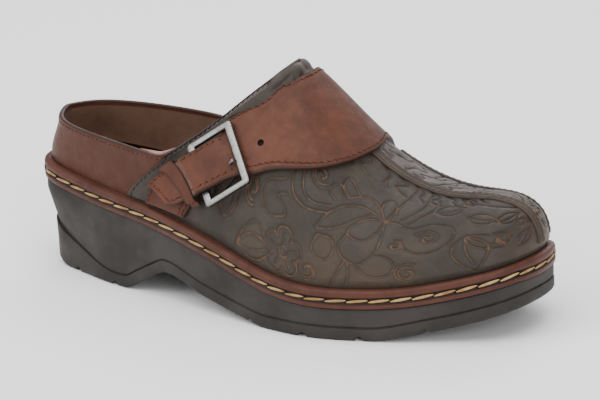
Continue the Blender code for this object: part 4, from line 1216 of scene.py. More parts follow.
@dataclass
class Tooling:
    """Floral scrolls cut into the vamp, laid out on a flat chart in millimetres.

    x runs back from the toe tip along the welt, and y up from the welt.
    """

    run: float = 300.0
    rise: float = 88.0
    reach: float = 4.0
    strokes: list[Array] = field(default_factory=list)

    def scroll(self, x: float, y: float, radius: float, start: float, turns: float, tail: float = 0.25) -> None:
        """A spiral that winds inwards, with a second line inside it."""
        for scale in (1.0, 0.72):
            t = np.linspace(0, 1, 36)
            angle = math.radians(start) + t * turns * 2 * math.pi
            r = radius * scale * (1 - t * (1 - tail))
            self.strokes.append(np.stack([x + r * np.cos(angle), y + r * np.sin(angle)], axis=1))

    def curve(self, *corners: tuple[float, float]) -> None:
        """A smooth line through corners."""
        s = np.linspace(0, 1, len(corners))
        t = np.linspace(0, 1, 14 * len(corners))
        self.strokes.append(np.stack([fair_curve(s, [c[k] for c in corners])(t) for k in (0, 1)], axis=1))

    def leaf(self, x: float, y: float, length: float, angle: float, bulge: float = 0.28) -> None:
        """A pointed leaf with its midrib."""
        t = np.linspace(0, 1, 18)
        turn = math.radians(angle)
        ahead = np.array([math.cos(turn), math.sin(turn)])
        aside = np.array([-ahead[1], ahead[0]])
        base = np.array([x, y])
        for side in (-1, 1):
            width = side * bulge * length * np.sin(math.pi * t**0.8)
            self.strokes.append(base + np.outer(t * length, ahead) + np.outer(width, aside))
        bend = 0.06 * length * np.sin(math.pi * t)
        self.strokes.append(base + np.outer(t * length * 0.8, ahead) + np.outer(bend, aside))

    def flower(self, x: float, y: float, radius: float, petals: int = 5, start: float = 20.0) -> None:
        """A round heart and its ring of broad petals."""
        ring = np.linspace(0, 2 * math.pi, 30)
        self.strokes.append(np.stack([x + radius * 0.22 * np.cos(ring), y + radius * 0.22 * np.sin(ring)], axis=1))
        for k in range(petals):
            middle = math.radians(start) + k * 2 * math.pi / petals
            half = math.pi / petals
            t = np.linspace(-1, 1, 22)
            angle = middle + half * t * 0.96
            r = radius * (0.62 + 0.38 * np.sqrt(np.clip(1 - t * t, 0, 1)))
            self.strokes.append(np.stack([x + r * np.cos(angle), y + r * np.sin(angle)], axis=1))
            vein = np.linspace(0.30, 0.70, 8) * radius
            self.strokes.append(np.stack([x + vein * math.cos(middle), y + vein * math.sin(middle)], axis=1))

    def lay_out(self) -> None:
        """The whole design of one side of the vamp."""
        hub = (82, 43)
        self.curve((113, 27), (108, 38), (99, 46), (90, 47), hub)
        self.curve((113, 27), (104, 31), (98, 37), (93, 42), (89, 46))
        self.curve(hub, (90, 42), (96, 36), (98, 30), (92, 28), (88, 30), (84, 36), hub)
        self.curve((98, 30), (101, 22), (97, 16), (90, 15), (84, 22), (82, 32), hub)
        self.curve((103, 48), (98, 52), (92, 54), (86, 50), hub)
        self.curve((103, 48), (107, 52), (106, 58), (101, 55), (98, 52))
        self.curve(hub, (86, 52), (84, 58), (80, 58), (78, 52), (79, 47), hub)
        self.curve((108, 44), (112, 47), (109, 52), (103, 49))
        self.curve((111, 25), (113, 18), (109, 14), (104, 16), (104, 24), (111, 25))
        self.curve(hub, (78, 55), (74, 66), (72, 76))
        self.curve((74, 47), (67, 56), (63, 66), (62, 76))
        self.curve((70, 45), (61, 56), (57, 64), (56, 72))
        self.curve(hub, (76, 44), (71, 42), (66, 42))
        self.curve((66, 42), (58, 46), (49, 44), (46, 36), (50, 27), (60, 22), (69, 25), (72, 32))
        self.scroll(59, 34, 7, 20, 1.2)
        self.scroll(75, 28, 4, 100, 0.9)
        self.scroll(68, 9, 7, 120, -1.1)
        self.curve((92, 14), (86, 8), (78, 8), (74, 14), (78, 20), (84, 20))
        self.leaf(41, 32, 30, -98)
        self.leaf(41, 32, 24, -140, 0.22)
        self.leaf(56, 58, 18, 160, 0.30)
        self.leaf(38, 52, 18, 215, 0.30)
        self.leaf(24, 40, 17, 170, 0.30)
        self.scroll(24, 24, 7, 60, 1.1)
        self.scroll(10, 32, 6, 200, -1.1)
        self.leaf(16, 14, 15, 130)
        self.curve((46, 66), (36, 68), (26, 64), (16, 56), (6, 50))
        self.leaf(32, 66, 14, 60, 0.3)
        self.curve((130, 44), (128, 36), (120, 33), (110, 36))
        self.curve((126, 46), (123, 39), (117, 37), (109, 40))
        self.scroll(118, 50, 6, 200, 1.1)
        self.curve((130, 24), (138, 22), (144, 27), (142, 33), (134, 37), (130, 44))
        self.curve((130, 33), (134, 30), (129, 27), (130, 24))
        self.leaf(136, 44, 16, 80, 0.3)
        self.curve((155, 4), (151, 12), (143, 17), (137, 11))
        self.leaf(154, 5, 22, 168, 0.22)
        self.flower(127, 11, 10)
        self.scroll(114, 7, 6, 40, -1.1)
        self.curve((97, 16), (100, 9), (103, 2))
        self.curve((96, 15), (95, 8), (96, 2))
        self.scroll(150, 27, 6, 250, 1.1)
        self.leaf(164, 12, 18, 95, 0.28)
        self.scroll(170, 36, 7, 150, -1.2)
        self.leaf(176, 16, 18, 70, 0.28)
        self.scroll(188, 30, 7, 60, 1.1)
        self.leaf(196, 46, 18, 80, 0.26)
        self.leaf(180, 60, 18, 60, 0.26)
        self.curve((212, 20), (206, 34), (208, 52), (200, 66))
        self.leaf(206, 16, 15, 190, 0.28)
        for x in range(18, 150, 11):
            sway = 2.2 if x % 2 else -2.2
            self.curve((x, 80), (x + 3 + sway, 83), (x + 1, 86), (x + 5 + sway, 88))
            self.curve((x + 4, 66), (x + 9 + sway, 70), (x + 6, 75), (x + 12, 79))

    def distance(self, share: Array, height: Array) -> Array:
        """How far points of the vamp lie from the nearest cut, in millimetres.

        Args:
            share: shares along the welt.
            height: heights up the columns.

        Returns:
            The distances, at most the design's reach.
        """
        points = np.stack([share * self.run, height * self.rise], axis=1)
        nearest = np.full(len(points), self.reach)
        for stroke in self.strokes:
            low, high = stroke.min(axis=0) - self.reach, stroke.max(axis=0) + self.reach
            picked = np.flatnonzero(((points > low) & (points < high)).all(axis=1))
            if not len(picked):
                continue
            start, leg = stroke[:-1], np.diff(stroke, axis=0)
            away = points[picked][:, None] - start[None]
            t = np.clip((away * leg).sum(-1) / np.maximum((leg * leg).sum(-1), 1e-9), 0, 1)
            gap = np.linalg.norm(away - t[..., None] * leg, axis=-1).min(axis=1)
            nearest[picked] = np.minimum(nearest[picked], gap)
        return nearest


@dataclass
class Upper:
    """The hollow upper: tooled vamp, plain quarter, lining and the rolled edges of the collar."""

    form: LastForm
    wall: float = 2.2 * MM
    cut_depth: float = 0.55 * MM
    facing_edge: float = 0.753
    quarter_start: float = 0.745
    band_width: float = 3.0 * MM
    tab_lift: float = 1.0 * MM
    roll_start: float = 0.728
    roll_end: float = 0.835
    roll_radius: float = 1.15 * MM
    columns: int = 440
    rows: int = 180
    stitch: Thread = Thread(pitch=2.9 * MM, length=2.2 * MM, radius=0.36 * MM, lean=8.0, rise=0.15)
    tack: Thread = Thread(pitch=0.7 * MM, length=3.4 * MM, radius=0.42 * MM, lean=90.0, rise=0.2)
    tooling: Tooling = field(default_factory=Tooling)

    def vamp_side(self, side: int) -> bmesh.types.BMesh:
        """One side of the vamp, with its tooling cut in."""
        form = self.form

        def chart(u: Array, v: Array) -> tuple[Array, Array]:
            return np.minimum(u * self.columns / (self.columns - 1), 1.0) * self.facing_edge, v

        def cut(u: Array, v: Array) -> Array:
            share, height = chart(u, v)
            return self.tooling.distance(share, height)

        def place(u: Array, v: Array) -> Array:
            share, height = chart(u, v)
            away = self.tooling.distance(share, height)
            relief = self.cut_depth * (0.5 * ramp(away, 0.3, 3.2) - np.exp(-((away / 0.5) ** 2)))
            fade = np.minimum(height / 0.06, 1.0) * ramp(self.facing_edge - share, 0.0, 0.02)
            tab = ramp(share, 0.502, 0.515) * ramp(share, 0.576, 0.562) * ramp(height, 0.84, 0.90)
            lift = form.vamp_step * np.minimum(height / 0.06, 1.0) + relief * fade + self.tab_lift * tab
            lift = lift - 1.3 * MM * np.exp(-(((share - form.throat_share) / 0.022) ** 2)) * ramp(height, 0.93, 1.0)
            return form.face(side, share, height, np.where(u > 1 - 0.5 / self.columns, -0.2 * MM, lift))

        # Mask of the top of each side for the strip colour, partly the strip's own tone and partly a painted sheen.
        def strip(u: Array, v: Array) -> Array:
            share, height = chart(u, v)
            low = 0.915 if side == LATERAL else 0.70
            return ramp(height, low, low + 0.03)

        def rim(u: Array, v: Array) -> Array:
            return np.full_like(u, 5.0)

        return drape(self.columns, self.rows, place, {"tool": cut, "strip": strip, "rim": rim})

    def edge_strip(
        self, name: str, route: tuple[Array, Array, Array], outside: float, inside: float, lift: float,
        material: bpy.types.Material,
    ) -> bpy.types.Object:
        """A strip folded over the upper's edge, from its outer face to its inner face.

        Args:
            name: the piece's name.
            route: side, share and lift of the outer face along the edge.
            outside: how far the strip reaches down the outer face.
            inside: how far it reaches down the inner face.
            lift: how far its outer face stands above the leather.
            material: its finish.

        Returns:
            The piece.
        """
        form = self.form
        sides, shares, lifts = route
        count = len(shares)
        top = form.face(sides, shares, np.ones(count), 0.0)
        down = form.face(sides, shares, np.full(count, 0.94), 0.0)
        reach = np.linalg.norm(top - down, axis=1) / 0.06
        profile = []
        for s in np.linspace(0, 1, 6):
            profile.append((outside * (1 - s), 1.0, lift))
        for angle in np.linspace(0, math.pi, 9)[1:-1]:
            profile.append((-math.sin(angle) * 0.6 * MM, (1 + math.cos(angle)) / 2, lift * math.cos(angle)))
        for s in np.linspace(0, 1, 5):
            profile.append((inside * s, 0.0, -lift))
        total = len(profile) - 1
        outward_up = unit(top - down)
        at, row = (index.ravel() for index in np.meshgrid(np.arange(count), np.arange(total + 1), indexing="ij"))
        fall, layer, extra = (np.array(column(profile, k))[row] for k in range(3))
        height = 1 - np.maximum(fall, 0) / reach[at]
        net = form.face(sides[at], shares[at], height, lifts[at] * layer - self.wall * (1 - layer) + extra)
        net = net + outward_up[at] * np.maximum(-fall, 0)[:, None]
        net = eased(net.reshape(count, total + 1, 3), 8)

        def place(u: Array, v: Array) -> Array:
            return net[np.rint(u * (count - 1)).astype(int), np.rint(v * total).astype(int)]

        def rim(u: Array, v: Array) -> Array:
            row = np.rint(v * total).astype(int)
            return np.array([abs(profile[r][0]) * 1000 if r > 3 else 3.0 for r in row])

        return finish_shape(drape(count - 1, total, place, {"rim": rim}), name, material, Facing.OUT, 70.0)

    def build(self, finishes: Finishes) -> list[bpy.types.Object]:
        """All the pieces of the upper."""
        form = self.form
        self.tooling.lay_out()
        pieces = []
        for side, name in ((LATERAL, "vamp_outer_side"), (MEDIAL, "vamp_inner_side")):
            vamp = finish_shape(self.vamp_side(side), name, finishes.vamp, Facing.OUT, 180.0)
            pieces.append(vamp)

        start = self.quarter_start

        def turn(u: Array) -> tuple[Array, Array]:
            share = start + (1 - start) * (1 - np.abs(2 * u - 1))
            return np.where(u <= 0.5, LATERAL, MEDIAL), share

        def quarter_place(u: Array, v: Array) -> Array:
            side, share = turn(u)
            return form.face(side, share, v, 0.0 * v)

        quarter = finish_shape(
            drape(220, 40, quarter_place, {"rim": lambda u, v: (1 - v) * 60 + 1.2}),
            "quarter", finishes.quarter, Facing.OUT, 180.0,
        )
        pieces.append(quarter)

        def lining_place(side: int) -> Place:
            def place(u: Array, v: Array) -> Array:
                return form.face(side, u, 0.02 + v * 0.98, -self.wall + 0.0 * v)

            return place

        lining_shapes = [drape(150, 34, lining_place(side), {"rim": lambda u, v: 5.0 + 0 * u}) for side in (LATERAL, MEDIAL)]
        lining = finish_shape(joined(lining_shapes), "lining", finishes.lining, Facing.IN, 180.0)
        pieces.append(lining)

        collar = np.linspace(-1, 1, 161)
        collar_share = start + 0.004 + (1 - start - 0.004) * (1 - np.abs(collar))
        collar_side = np.where(collar <= 0, LATERAL, MEDIAL)
        pieces.append(
            self.edge_strip(
                "collar_edge", (collar_side, collar_share, np.zeros(161)), 1.2 * MM, 1.6 * MM, 0.08 * MM, finishes.quarter
            )
        )
        throat = form.throat_share + 0.0005
        facing = np.linspace(-1, 1, 181)
        facing_share = throat + (self.facing_edge - throat) * np.abs(facing)
        facing_side = np.where(facing <= 0, LATERAL, MEDIAL)
        tab = ramp(facing_share, 0.576, 0.562) * self.tab_lift
        pieces.append(
            self.edge_strip(
                "facing_binding", (facing_side, facing_share, form.vamp_step + tab), self.band_width, 2 * MM,
                0.25 * MM, finishes.binding,
            )
        )
        pieces.append(self.lining_roll(finishes))
        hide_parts("upper")
        pieces += self.stitching(finishes, facing_side, facing_share)
        return pieces

    def lining_roll(self, finishes: Finishes) -> bpy.types.Object:
        """The pale padded edge of the lining, showing above the collar on the outer side."""
        form = self.form

        def place(u: Array, v: Array) -> Array:
            angle = v * 2 * math.pi
            radius = self.roll_radius * np.sin(math.pi * np.clip(u, 0, 1)) ** 0.7
            share = self.roll_start + (self.roll_end - self.roll_start) * u
            inwards = -self.wall - self.roll_radius * 0.8 + radius * np.cos(angle)
            points = form.face(LATERAL, share, np.ones_like(u), inwards)
            return points + np.array([0, 0, 1.0]) * (radius * (0.55 + np.sin(angle)))[:, None]

        return finish_shape(drape(60, 12, place), "lining_roll", finishes.pink_edge, Facing.SOLID, 80.0)

    def stitching(self, finishes: Finishes, facing_side: Array, facing_share: Array) -> list[bpy.types.Object]:
        """Rows of stitches along the facing and below the collar."""
        form = self.form
        rows = []
        for down, lift in ((0.018, 0.25 * MM), (0.044, 0.0)):
            height = np.full(len(facing_share), 1 - down)
            path = form.face(facing_side, facing_share, height, form.vamp_step + lift)
            rows.append((path, form.normal(facing_side.astype(float), facing_share, height)))
        edge_height = np.linspace(0.04, 0.97, 60)
        for side in (LATERAL, MEDIAL):
            share = np.full(60, self.facing_edge - 0.008)
            sides = np.full(60, side)
            path = form.face(sides, share, edge_height, form.vamp_step)
            rows.append((path, form.normal(sides.astype(float), share, edge_height)))
        pieces = sew("facing_stitches", rows, self.stitch, finishes.dark_thread, finishes.hole)
        turn = np.linspace(-1, 1, 200)
        share = self.quarter_start + 0.012 + (1 - self.quarter_start - 0.012) * (1 - np.abs(turn))
        sides = np.where(turn <= 0, LATERAL, MEDIAL)
        height = np.full(200, 0.93)
        collar = (form.face(sides, share, height, 0.0), form.normal(sides.astype(float), share, height))
        pieces += sew("collar_stitches", [collar], self.stitch, finishes.brown_thread, finishes.hole)
        reach = np.linspace(0.875, 0.955, 8)
        tack = (form.face(LATERAL, 0.572, reach, form.vamp_step), form.normal(np.full(8, -1.0), np.full(8, 0.572), reach))
        pieces += sew("bar_tack", [tack], self.tack, finishes.binding_thread)
        return pieces


@dataclass
class Overlay:
    """A strip of leather lying on the vamp, between a back edge and a front edge."""

    form: LastForm
    rows: tuple
    thickness: float
    passes: int = 14

    def __post_init__(self) -> None:
        """Make curves of the table's columns."""
        self.curves = [tight_curve(column(self.rows, 0), column(self.rows, k)) for k in range(1, 6)]

    def spot(self, run: Array, across: Array) -> tuple[Array, Array, Array]:
        """Share, wrap and lift at a run along the strip and a place across it."""
        back_share, back_wrap, front_share, front_wrap, lift = (curve(run) for curve in self.curves)
        return back_share + (front_share - back_share) * across, back_wrap + (front_wrap - back_wrap) * across, lift

    def point(self, run: Array, across: Array, extra: Array | float = 0.0) -> Array:
        """A point at a height above the strip's underside."""
        share, wrap, lift = self.spot(run, across)
        return self.form.wrapped(share, wrap, lift + extra)

    def path(self, run: Array, across: Array, extra: float) -> tuple[Array, Array]:
        """A path along the strip and its outward directions."""
        run, across = np.broadcast_arrays(np.asarray(run, float), np.asarray(across, float))
        share, wrap, _ = self.spot(run, across)
        return eased(self.point(run, across, extra), 14), unit(eased(self.form.wrapped_normal(share, wrap), 14))

    def inset(self, run: Array, margin: float, front: bool) -> Array:
        """The place across the strip at a margin from its front or back edge."""
        run = np.asarray(run, float)
        width = np.linalg.norm(self.point(run, np.ones_like(run)) - self.point(run, np.zeros_like(run)), axis=1)
        share = np.clip(margin / np.maximum(width, 1e-4), 0, 0.5)
        return 1 - share if front else share

    def build(self, name: str, columns: int, rows: int, material: bpy.types.Material) -> bpy.types.Object:
        """The strip with its thickness and rounded edges."""

        u, v = (side.ravel() for side in np.meshgrid(np.linspace(0, 1, columns + 1), np.linspace(0, 1, rows + 1), indexing="ij"))
        net = self.point(u, v).reshape(columns + 1, rows + 1, 3)
        net = eased(net, self.passes)
        net = eased(net.transpose(1, 0, 2), self.passes // 3).transpose(1, 0, 2)

        def place(u: Array, v: Array) -> Array:
            return net[np.rint(u * columns).astype(int), np.rint(v * rows).astype(int)]

        def rim(u: Array, v: Array) -> Array:
            width = np.linalg.norm(self.point(u, np.ones_like(u)) - self.point(u, np.zeros_like(u)), axis=1)
            return np.minimum(v, 1 - v) * width * 1000

        piece = finish_shape(drape(columns, rows, place, {"rim": rim}), name, material, Facing.OUT, 180.0)
        thicken(piece, self.thickness)
        round_edges(piece, self.thickness * 0.22, 2, 60.0)
        apply_modifiers(piece)
        piece.data.shade_smooth()
        piece.data.set_sharp_from_angle(angle=math.radians(50))
        return piece


@dataclass
class Strap:
    """The wide instep strap, its keeper and the patch that carries the buckle."""

    form: LastForm
    seat: float = 0.45 * MM
    thickness: float = 2.2 * MM
    patch_thickness: float = 1.6 * MM
    keeper_thickness: float = 1.3 * MM
    gap: float = 0.3 * MM
    keeper_run: float = 0.903
    keeper_width: float = 0.058
    hole_run: float = 0.598
    hole_across: float = 0.76
    hole_radius: float = 1.6 * MM
    stitch: Thread = Thread(pitch=3.2 * MM, length=2.4 * MM, radius=0.38 * MM, lean=8.0, rise=0.15)

    def __post_init__(self) -> None:
        """Lay out the strap and the patch."""
        seat, low = self.seat, self.gap * 2 + self.patch_thickness
        self.strap = Overlay(
            self.form,
            (
                (0.00, 0.515, -0.97, 0.365, -0.97, seat),
                (0.12, 0.508, -0.60, 0.372, -0.60, seat),
                (0.22, 0.499, -0.25, 0.364, -0.28, seat),
                (0.30, 0.497, 0.00, 0.346, 0.02, seat),
                (0.37, 0.515, 0.195, 0.357, 0.20, seat + 0.3 * MM),
                (0.44, 0.537, 0.243, 0.392, 0.395, seat + 0.4 * MM),
                (0.52, 0.568, 0.250, 0.437, 0.522, seat + 0.2 * MM),
                (0.60, 0.604, 0.217, 0.490, 0.622, seat),
                (0.665, 0.624, 0.214, 0.520, 0.672, seat),
                (0.680, 0.628, 0.216, 0.524, 0.678, seat),
                (0.692, 0.606, 0.416, 0.535, 0.672, seat + 0.1 * MM),
                (0.712, 0.609, 0.428, 0.543, 0.690, seat + 3.0 * MM),
                (0.735, 0.616, 0.447, 0.553, 0.706, seat + 4.3 * MM),
                (0.785, 0.632, 0.490, 0.569, 0.740, seat + 4.9 * MM),
                (0.840, 0.650, 0.532, 0.586, 0.778, seat + 6.2 * MM),
                (0.858, 0.662, 0.520, 0.592, 0.788, seat + 4.2 * MM),
                (0.877, 0.680, 0.484, 0.599, 0.797, low),
                (0.910, 0.692, 0.510, 0.606, 0.810, low),
                (0.940, 0.698, 0.565, 0.616, 0.830, low),
                (0.975, 0.709, 0.645, 0.634, 0.872, low),
                (1.00, 0.712, 0.705, 0.652, 0.888, low),
            ),
            self.thickness,
        )
        self.patch = Overlay(
            self.form,
            (
                (0.00, 0.660, 0.425, 0.584, 0.735, self.gap),
                (0.35, 0.686, 0.540, 0.604, 0.805, self.gap),
                (0.62, 0.705, 0.690, 0.610, 0.860, self.gap),
                (1.00, 0.707, 0.950, 0.622, 0.950, self.gap),
            ),
            self.patch_thickness,
        )

    def keeper(self, finishes: Finishes) -> bpy.types.Object:
        """The band that bridges the strap's end."""
        top = self.gap * 3.5 + self.patch_thickness + self.thickness
        foot = self.gap * 2 + self.patch_thickness
        bridge = (
            (-0.07, self.gap),
            (-0.035, top * 0.55),
            (-0.01, top),
            (0.10, top),
            (0.30, top),
            (0.50, top),
            (0.70, top),
            (0.90, top),
            (1.03, top),
            (1.075, top * 0.55),
            (1.13, foot),
        )
        s = np.linspace(0, 1, len(bridge))
        across, lift = (tight_curve(s, column(bridge, k)) for k in (0, 1))

        def place(u: Array, v: Array) -> Array:
            run = self.keeper_run + self.keeper_width * (v - 0.5)
            share, wrap, _ = self.strap.spot(run, across(u))
            return self.form.wrapped(share, wrap, lift(u))

        shape = drape(72, 10, place, {"rim": lambda u, v: np.minimum(v, 1 - v) * 9.0})
        piece = finish_shape(shape, "keeper_band", finishes.anchor, Facing.OUT, 180.0)
        thicken(piece, self.keeper_thickness)
        round_edges(piece, 0.35 * MM, 2, 60.0)
        apply_modifiers(piece)
        piece.data.shade_smooth()
        piece.data.set_sharp_from_angle(angle=math.radians(50))
        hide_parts("strap_keeper")
        return piece

    def punch(self, strap: bpy.types.Object) -> None:
        """Cut the spare round hole through the strap."""
        run, across = np.array([self.hole_run]), np.array([self.hole_across])
        low, high = self.strap.point(run, across, -1.5 * MM)[0], self.strap.point(run, across, 4.0 * MM)[0]
        shape = bmesh.new()
        place = Vector(high - low).to_track_quat("Z", "Y").to_matrix().to_4x4()
        place.translation = Vector((low + high) / 2)
        depth = float(np.linalg.norm(high - low))
        bmesh.ops.create_cone(
            shape, cap_ends=True, segments=24, radius1=self.hole_radius, radius2=self.hole_radius, depth=depth,
            matrix=place,
        )
        mesh = bpy.data.meshes.new("punch")
        shape.to_mesh(mesh)
        shape.free()
        punch = bpy.data.objects.new("punch", mesh)
        bpy.context.scene.collection.objects.link(punch)
        cut = strap.modifiers.new("punch", "BOOLEAN")
        cut.operation = "DIFFERENCE"
        cut.object = punch
        apply_modifiers(strap)
        bpy.data.objects.remove(punch)

    def build(self, finishes: Finishes) -> list[bpy.types.Object]:
        """The strap, patch, keeper and their stitches."""
        strap = self.strap.build("instep_band", 260, 30, finishes.strap)
        self.punch(strap)
        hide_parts("instep_strap")
        patch = self.patch.build("buckle_patch", 40, 24, finishes.anchor)
        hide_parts("buckle_anchor")
        keeper = self.keeper(finishes)
        margin = 2.0 * MM
        wide = np.linspace(0.01, 0.672, 200)
        narrow = np.linspace(0.70, 0.985, 90)
        rows = [
            self.strap.path(run, self.strap.inset(run, margin, front), self.thickness)
            for run in (wide, narrow)
            for front in (False, True)
        ]
        tip = np.linspace(0.1, 0.9, 12)
        rows.append(self.strap.path(np.full(12, 0.985), tip, self.thickness))
        patch_run = np.linspace(0.1, 0.95, 30)
        for inset in (1.6 * MM, 4.0 * MM):
            rows.append(self.patch.path(patch_run, self.patch.inset(patch_run, inset, True), self.patch_thickness))
        rows.append(self.patch.path(patch_run, self.patch.inset(patch_run, 1.6 * MM, False), self.patch_thickness))
        stitches = sew("strap_stitches", rows, self.stitch, finishes.brown_thread, finishes.hole)
        pieces = [strap, patch, keeper, *stitches]
        return pieces


@dataclass
class Buckle:
    """The square metal frame and its prong."""

    strap: Strap
    length: float = 26.0 * MM
    span: float = 32.8 * MM
    bar_width: float = 3.7 * MM
    bar_height: float = 2.4 * MM
    side_share: float = 0.74
    corner: float = 1.7 * MM
    prong_radius: float = 0.9 * MM
    prong_across: float = 3.3 * MM
    front_bar: tuple[float, float] = (0.662, 0.76)
    back_bar: tuple[float, float] = (0.838, 0.64)

    def axes(self) -> tuple[Array, Array, Array, Array]:
        """Centre of the buckle, and its directions along the strap, across it and outwards."""
        strap = self.strap
        lifts = (strap.seat + strap.gap + strap.thickness + 0.4 * MM, strap.gap * 2 + strap.patch_thickness + 0.3 * MM)
        bars = []
        for (run, across), lift in zip((self.front_bar, self.back_bar), lifts):
            share, wrap, _ = strap.strap.spot(np.array([run]), np.array([across]))
            bars.append(strap.form.wrapped(share, wrap, lift + self.bar_height / 2)[0])
        front, back = bars
        along = unit(back - front)
        halfway = np.array([(self.front_bar[0] + self.back_bar[0]) / 2])
        ends = []
        for edge in (1.0, 0.0):
            share, wrap, _ = strap.strap.spot(halfway, np.array([edge]))
            ends.append(strap.form.wrapped(share, wrap)[0])
        across = ends[0] - ends[1]
        across = unit(across - along * (across @ along))
        outwards = np.cross(across, along)
        if outwards @ (front - FOOT_MIDDLE) < 0:
            outwards = -outwards
        return (front + back) / 2, along, across, outwards

    def place(self, points: Array) -> Array:
        """Points given in the buckle's own axes, in the row's frame."""
        centre, along, across, outwards = self.axes()
        return centre + points[:, :1] * along + points[:, 1:2] * across + points[:, 2:] * outwards

    def loop(self, half_length: float, half_width: float, radius: float, t: Array) -> Array:
        """Points of a rounded rectangle, at shares of its turn."""
        corners = []
        for quarter, (sx, sy) in enumerate(((1, 1), (-1, 1), (-1, -1), (1, -1))):
            for step in range(7):
                angle = math.radians(90 * quarter + 15 * step)
                x = sx * (half_length - radius) + radius * math.cos(angle)
                y = sy * (half_width - radius) + radius * math.sin(angle)
                corners.append((x, y))
        ring = np.array(corners)
        return ring[np.rint(t * len(ring)).astype(int) % len(ring)]

    def build(self, finishes: Finishes) -> list[bpy.types.Object]:
        """The frame and the prong."""
        turns, sides = 28, 24
        half_bar, half_tall = self.bar_width / 2, self.bar_height / 2

        def frame_place(u: Array, v: Array) -> Array:
            angle = v * 2 * math.pi + math.pi / 4
            power = 0.30
            out = half_bar * np.sign(np.cos(angle)) * np.abs(np.cos(angle)) ** power
            up = half_tall * np.sign(np.sin(angle)) * np.abs(np.sin(angle)) ** power
            points = np.zeros((len(u), 3))
            for k in range(len(u)):
                radius = max(self.corner - half_bar + out[k], self.corner * 0.15)
                half_length = self.length / 2 - half_bar + out[k]
                half_width = self.span / 2 + (out[k] - half_bar) * self.side_share
                points[k, :2] = self.loop(half_length, half_width, radius, np.array([u[k]]))[0]
                points[k, 2] = up[k]
            return self.place(points)

        frame = finish_shape(drape(turns, sides, frame_place), "buckle_loop", finishes.buckle, Facing.SOLID, 50.0)
        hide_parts("buckle_frame")
        reach = self.length / 2 - self.bar_width
        tip = self.bar_height * 0.6 + self.prong_radius
        knots = ((1.0, 0.0), (0.45, 0.0), (-0.35, 0.10), (-0.78, 0.75), (-0.92, 1.0), (-1.0, 1.0))
        s = np.linspace(0, 1, len(knots))
        along, lift = (tight_curve(s, column(knots, k)) for k in (0, 1))

        def prong_place(u: Array, v: Array) -> Array:
            angle = v * 2 * math.pi
            near_end = np.minimum(u, 1 - u) / 0.07
            radius = self.prong_radius * np.sqrt(np.clip(1 - (1 - np.clip(near_end, 0, 1)) ** 2, 0, 1))
            points = np.stack(
                [along(u) * reach, self.prong_across + radius * np.cos(angle), lift(u) * tip + radius * np.sin(angle)],
                axis=1,
            )
            return self.place(points)

        prong = finish_shape(drape(60, 14, prong_place), "buckle_tongue", finishes.buckle, Facing.SOLID, 60.0)
        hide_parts("buckle_prong")
        return [frame, prong]


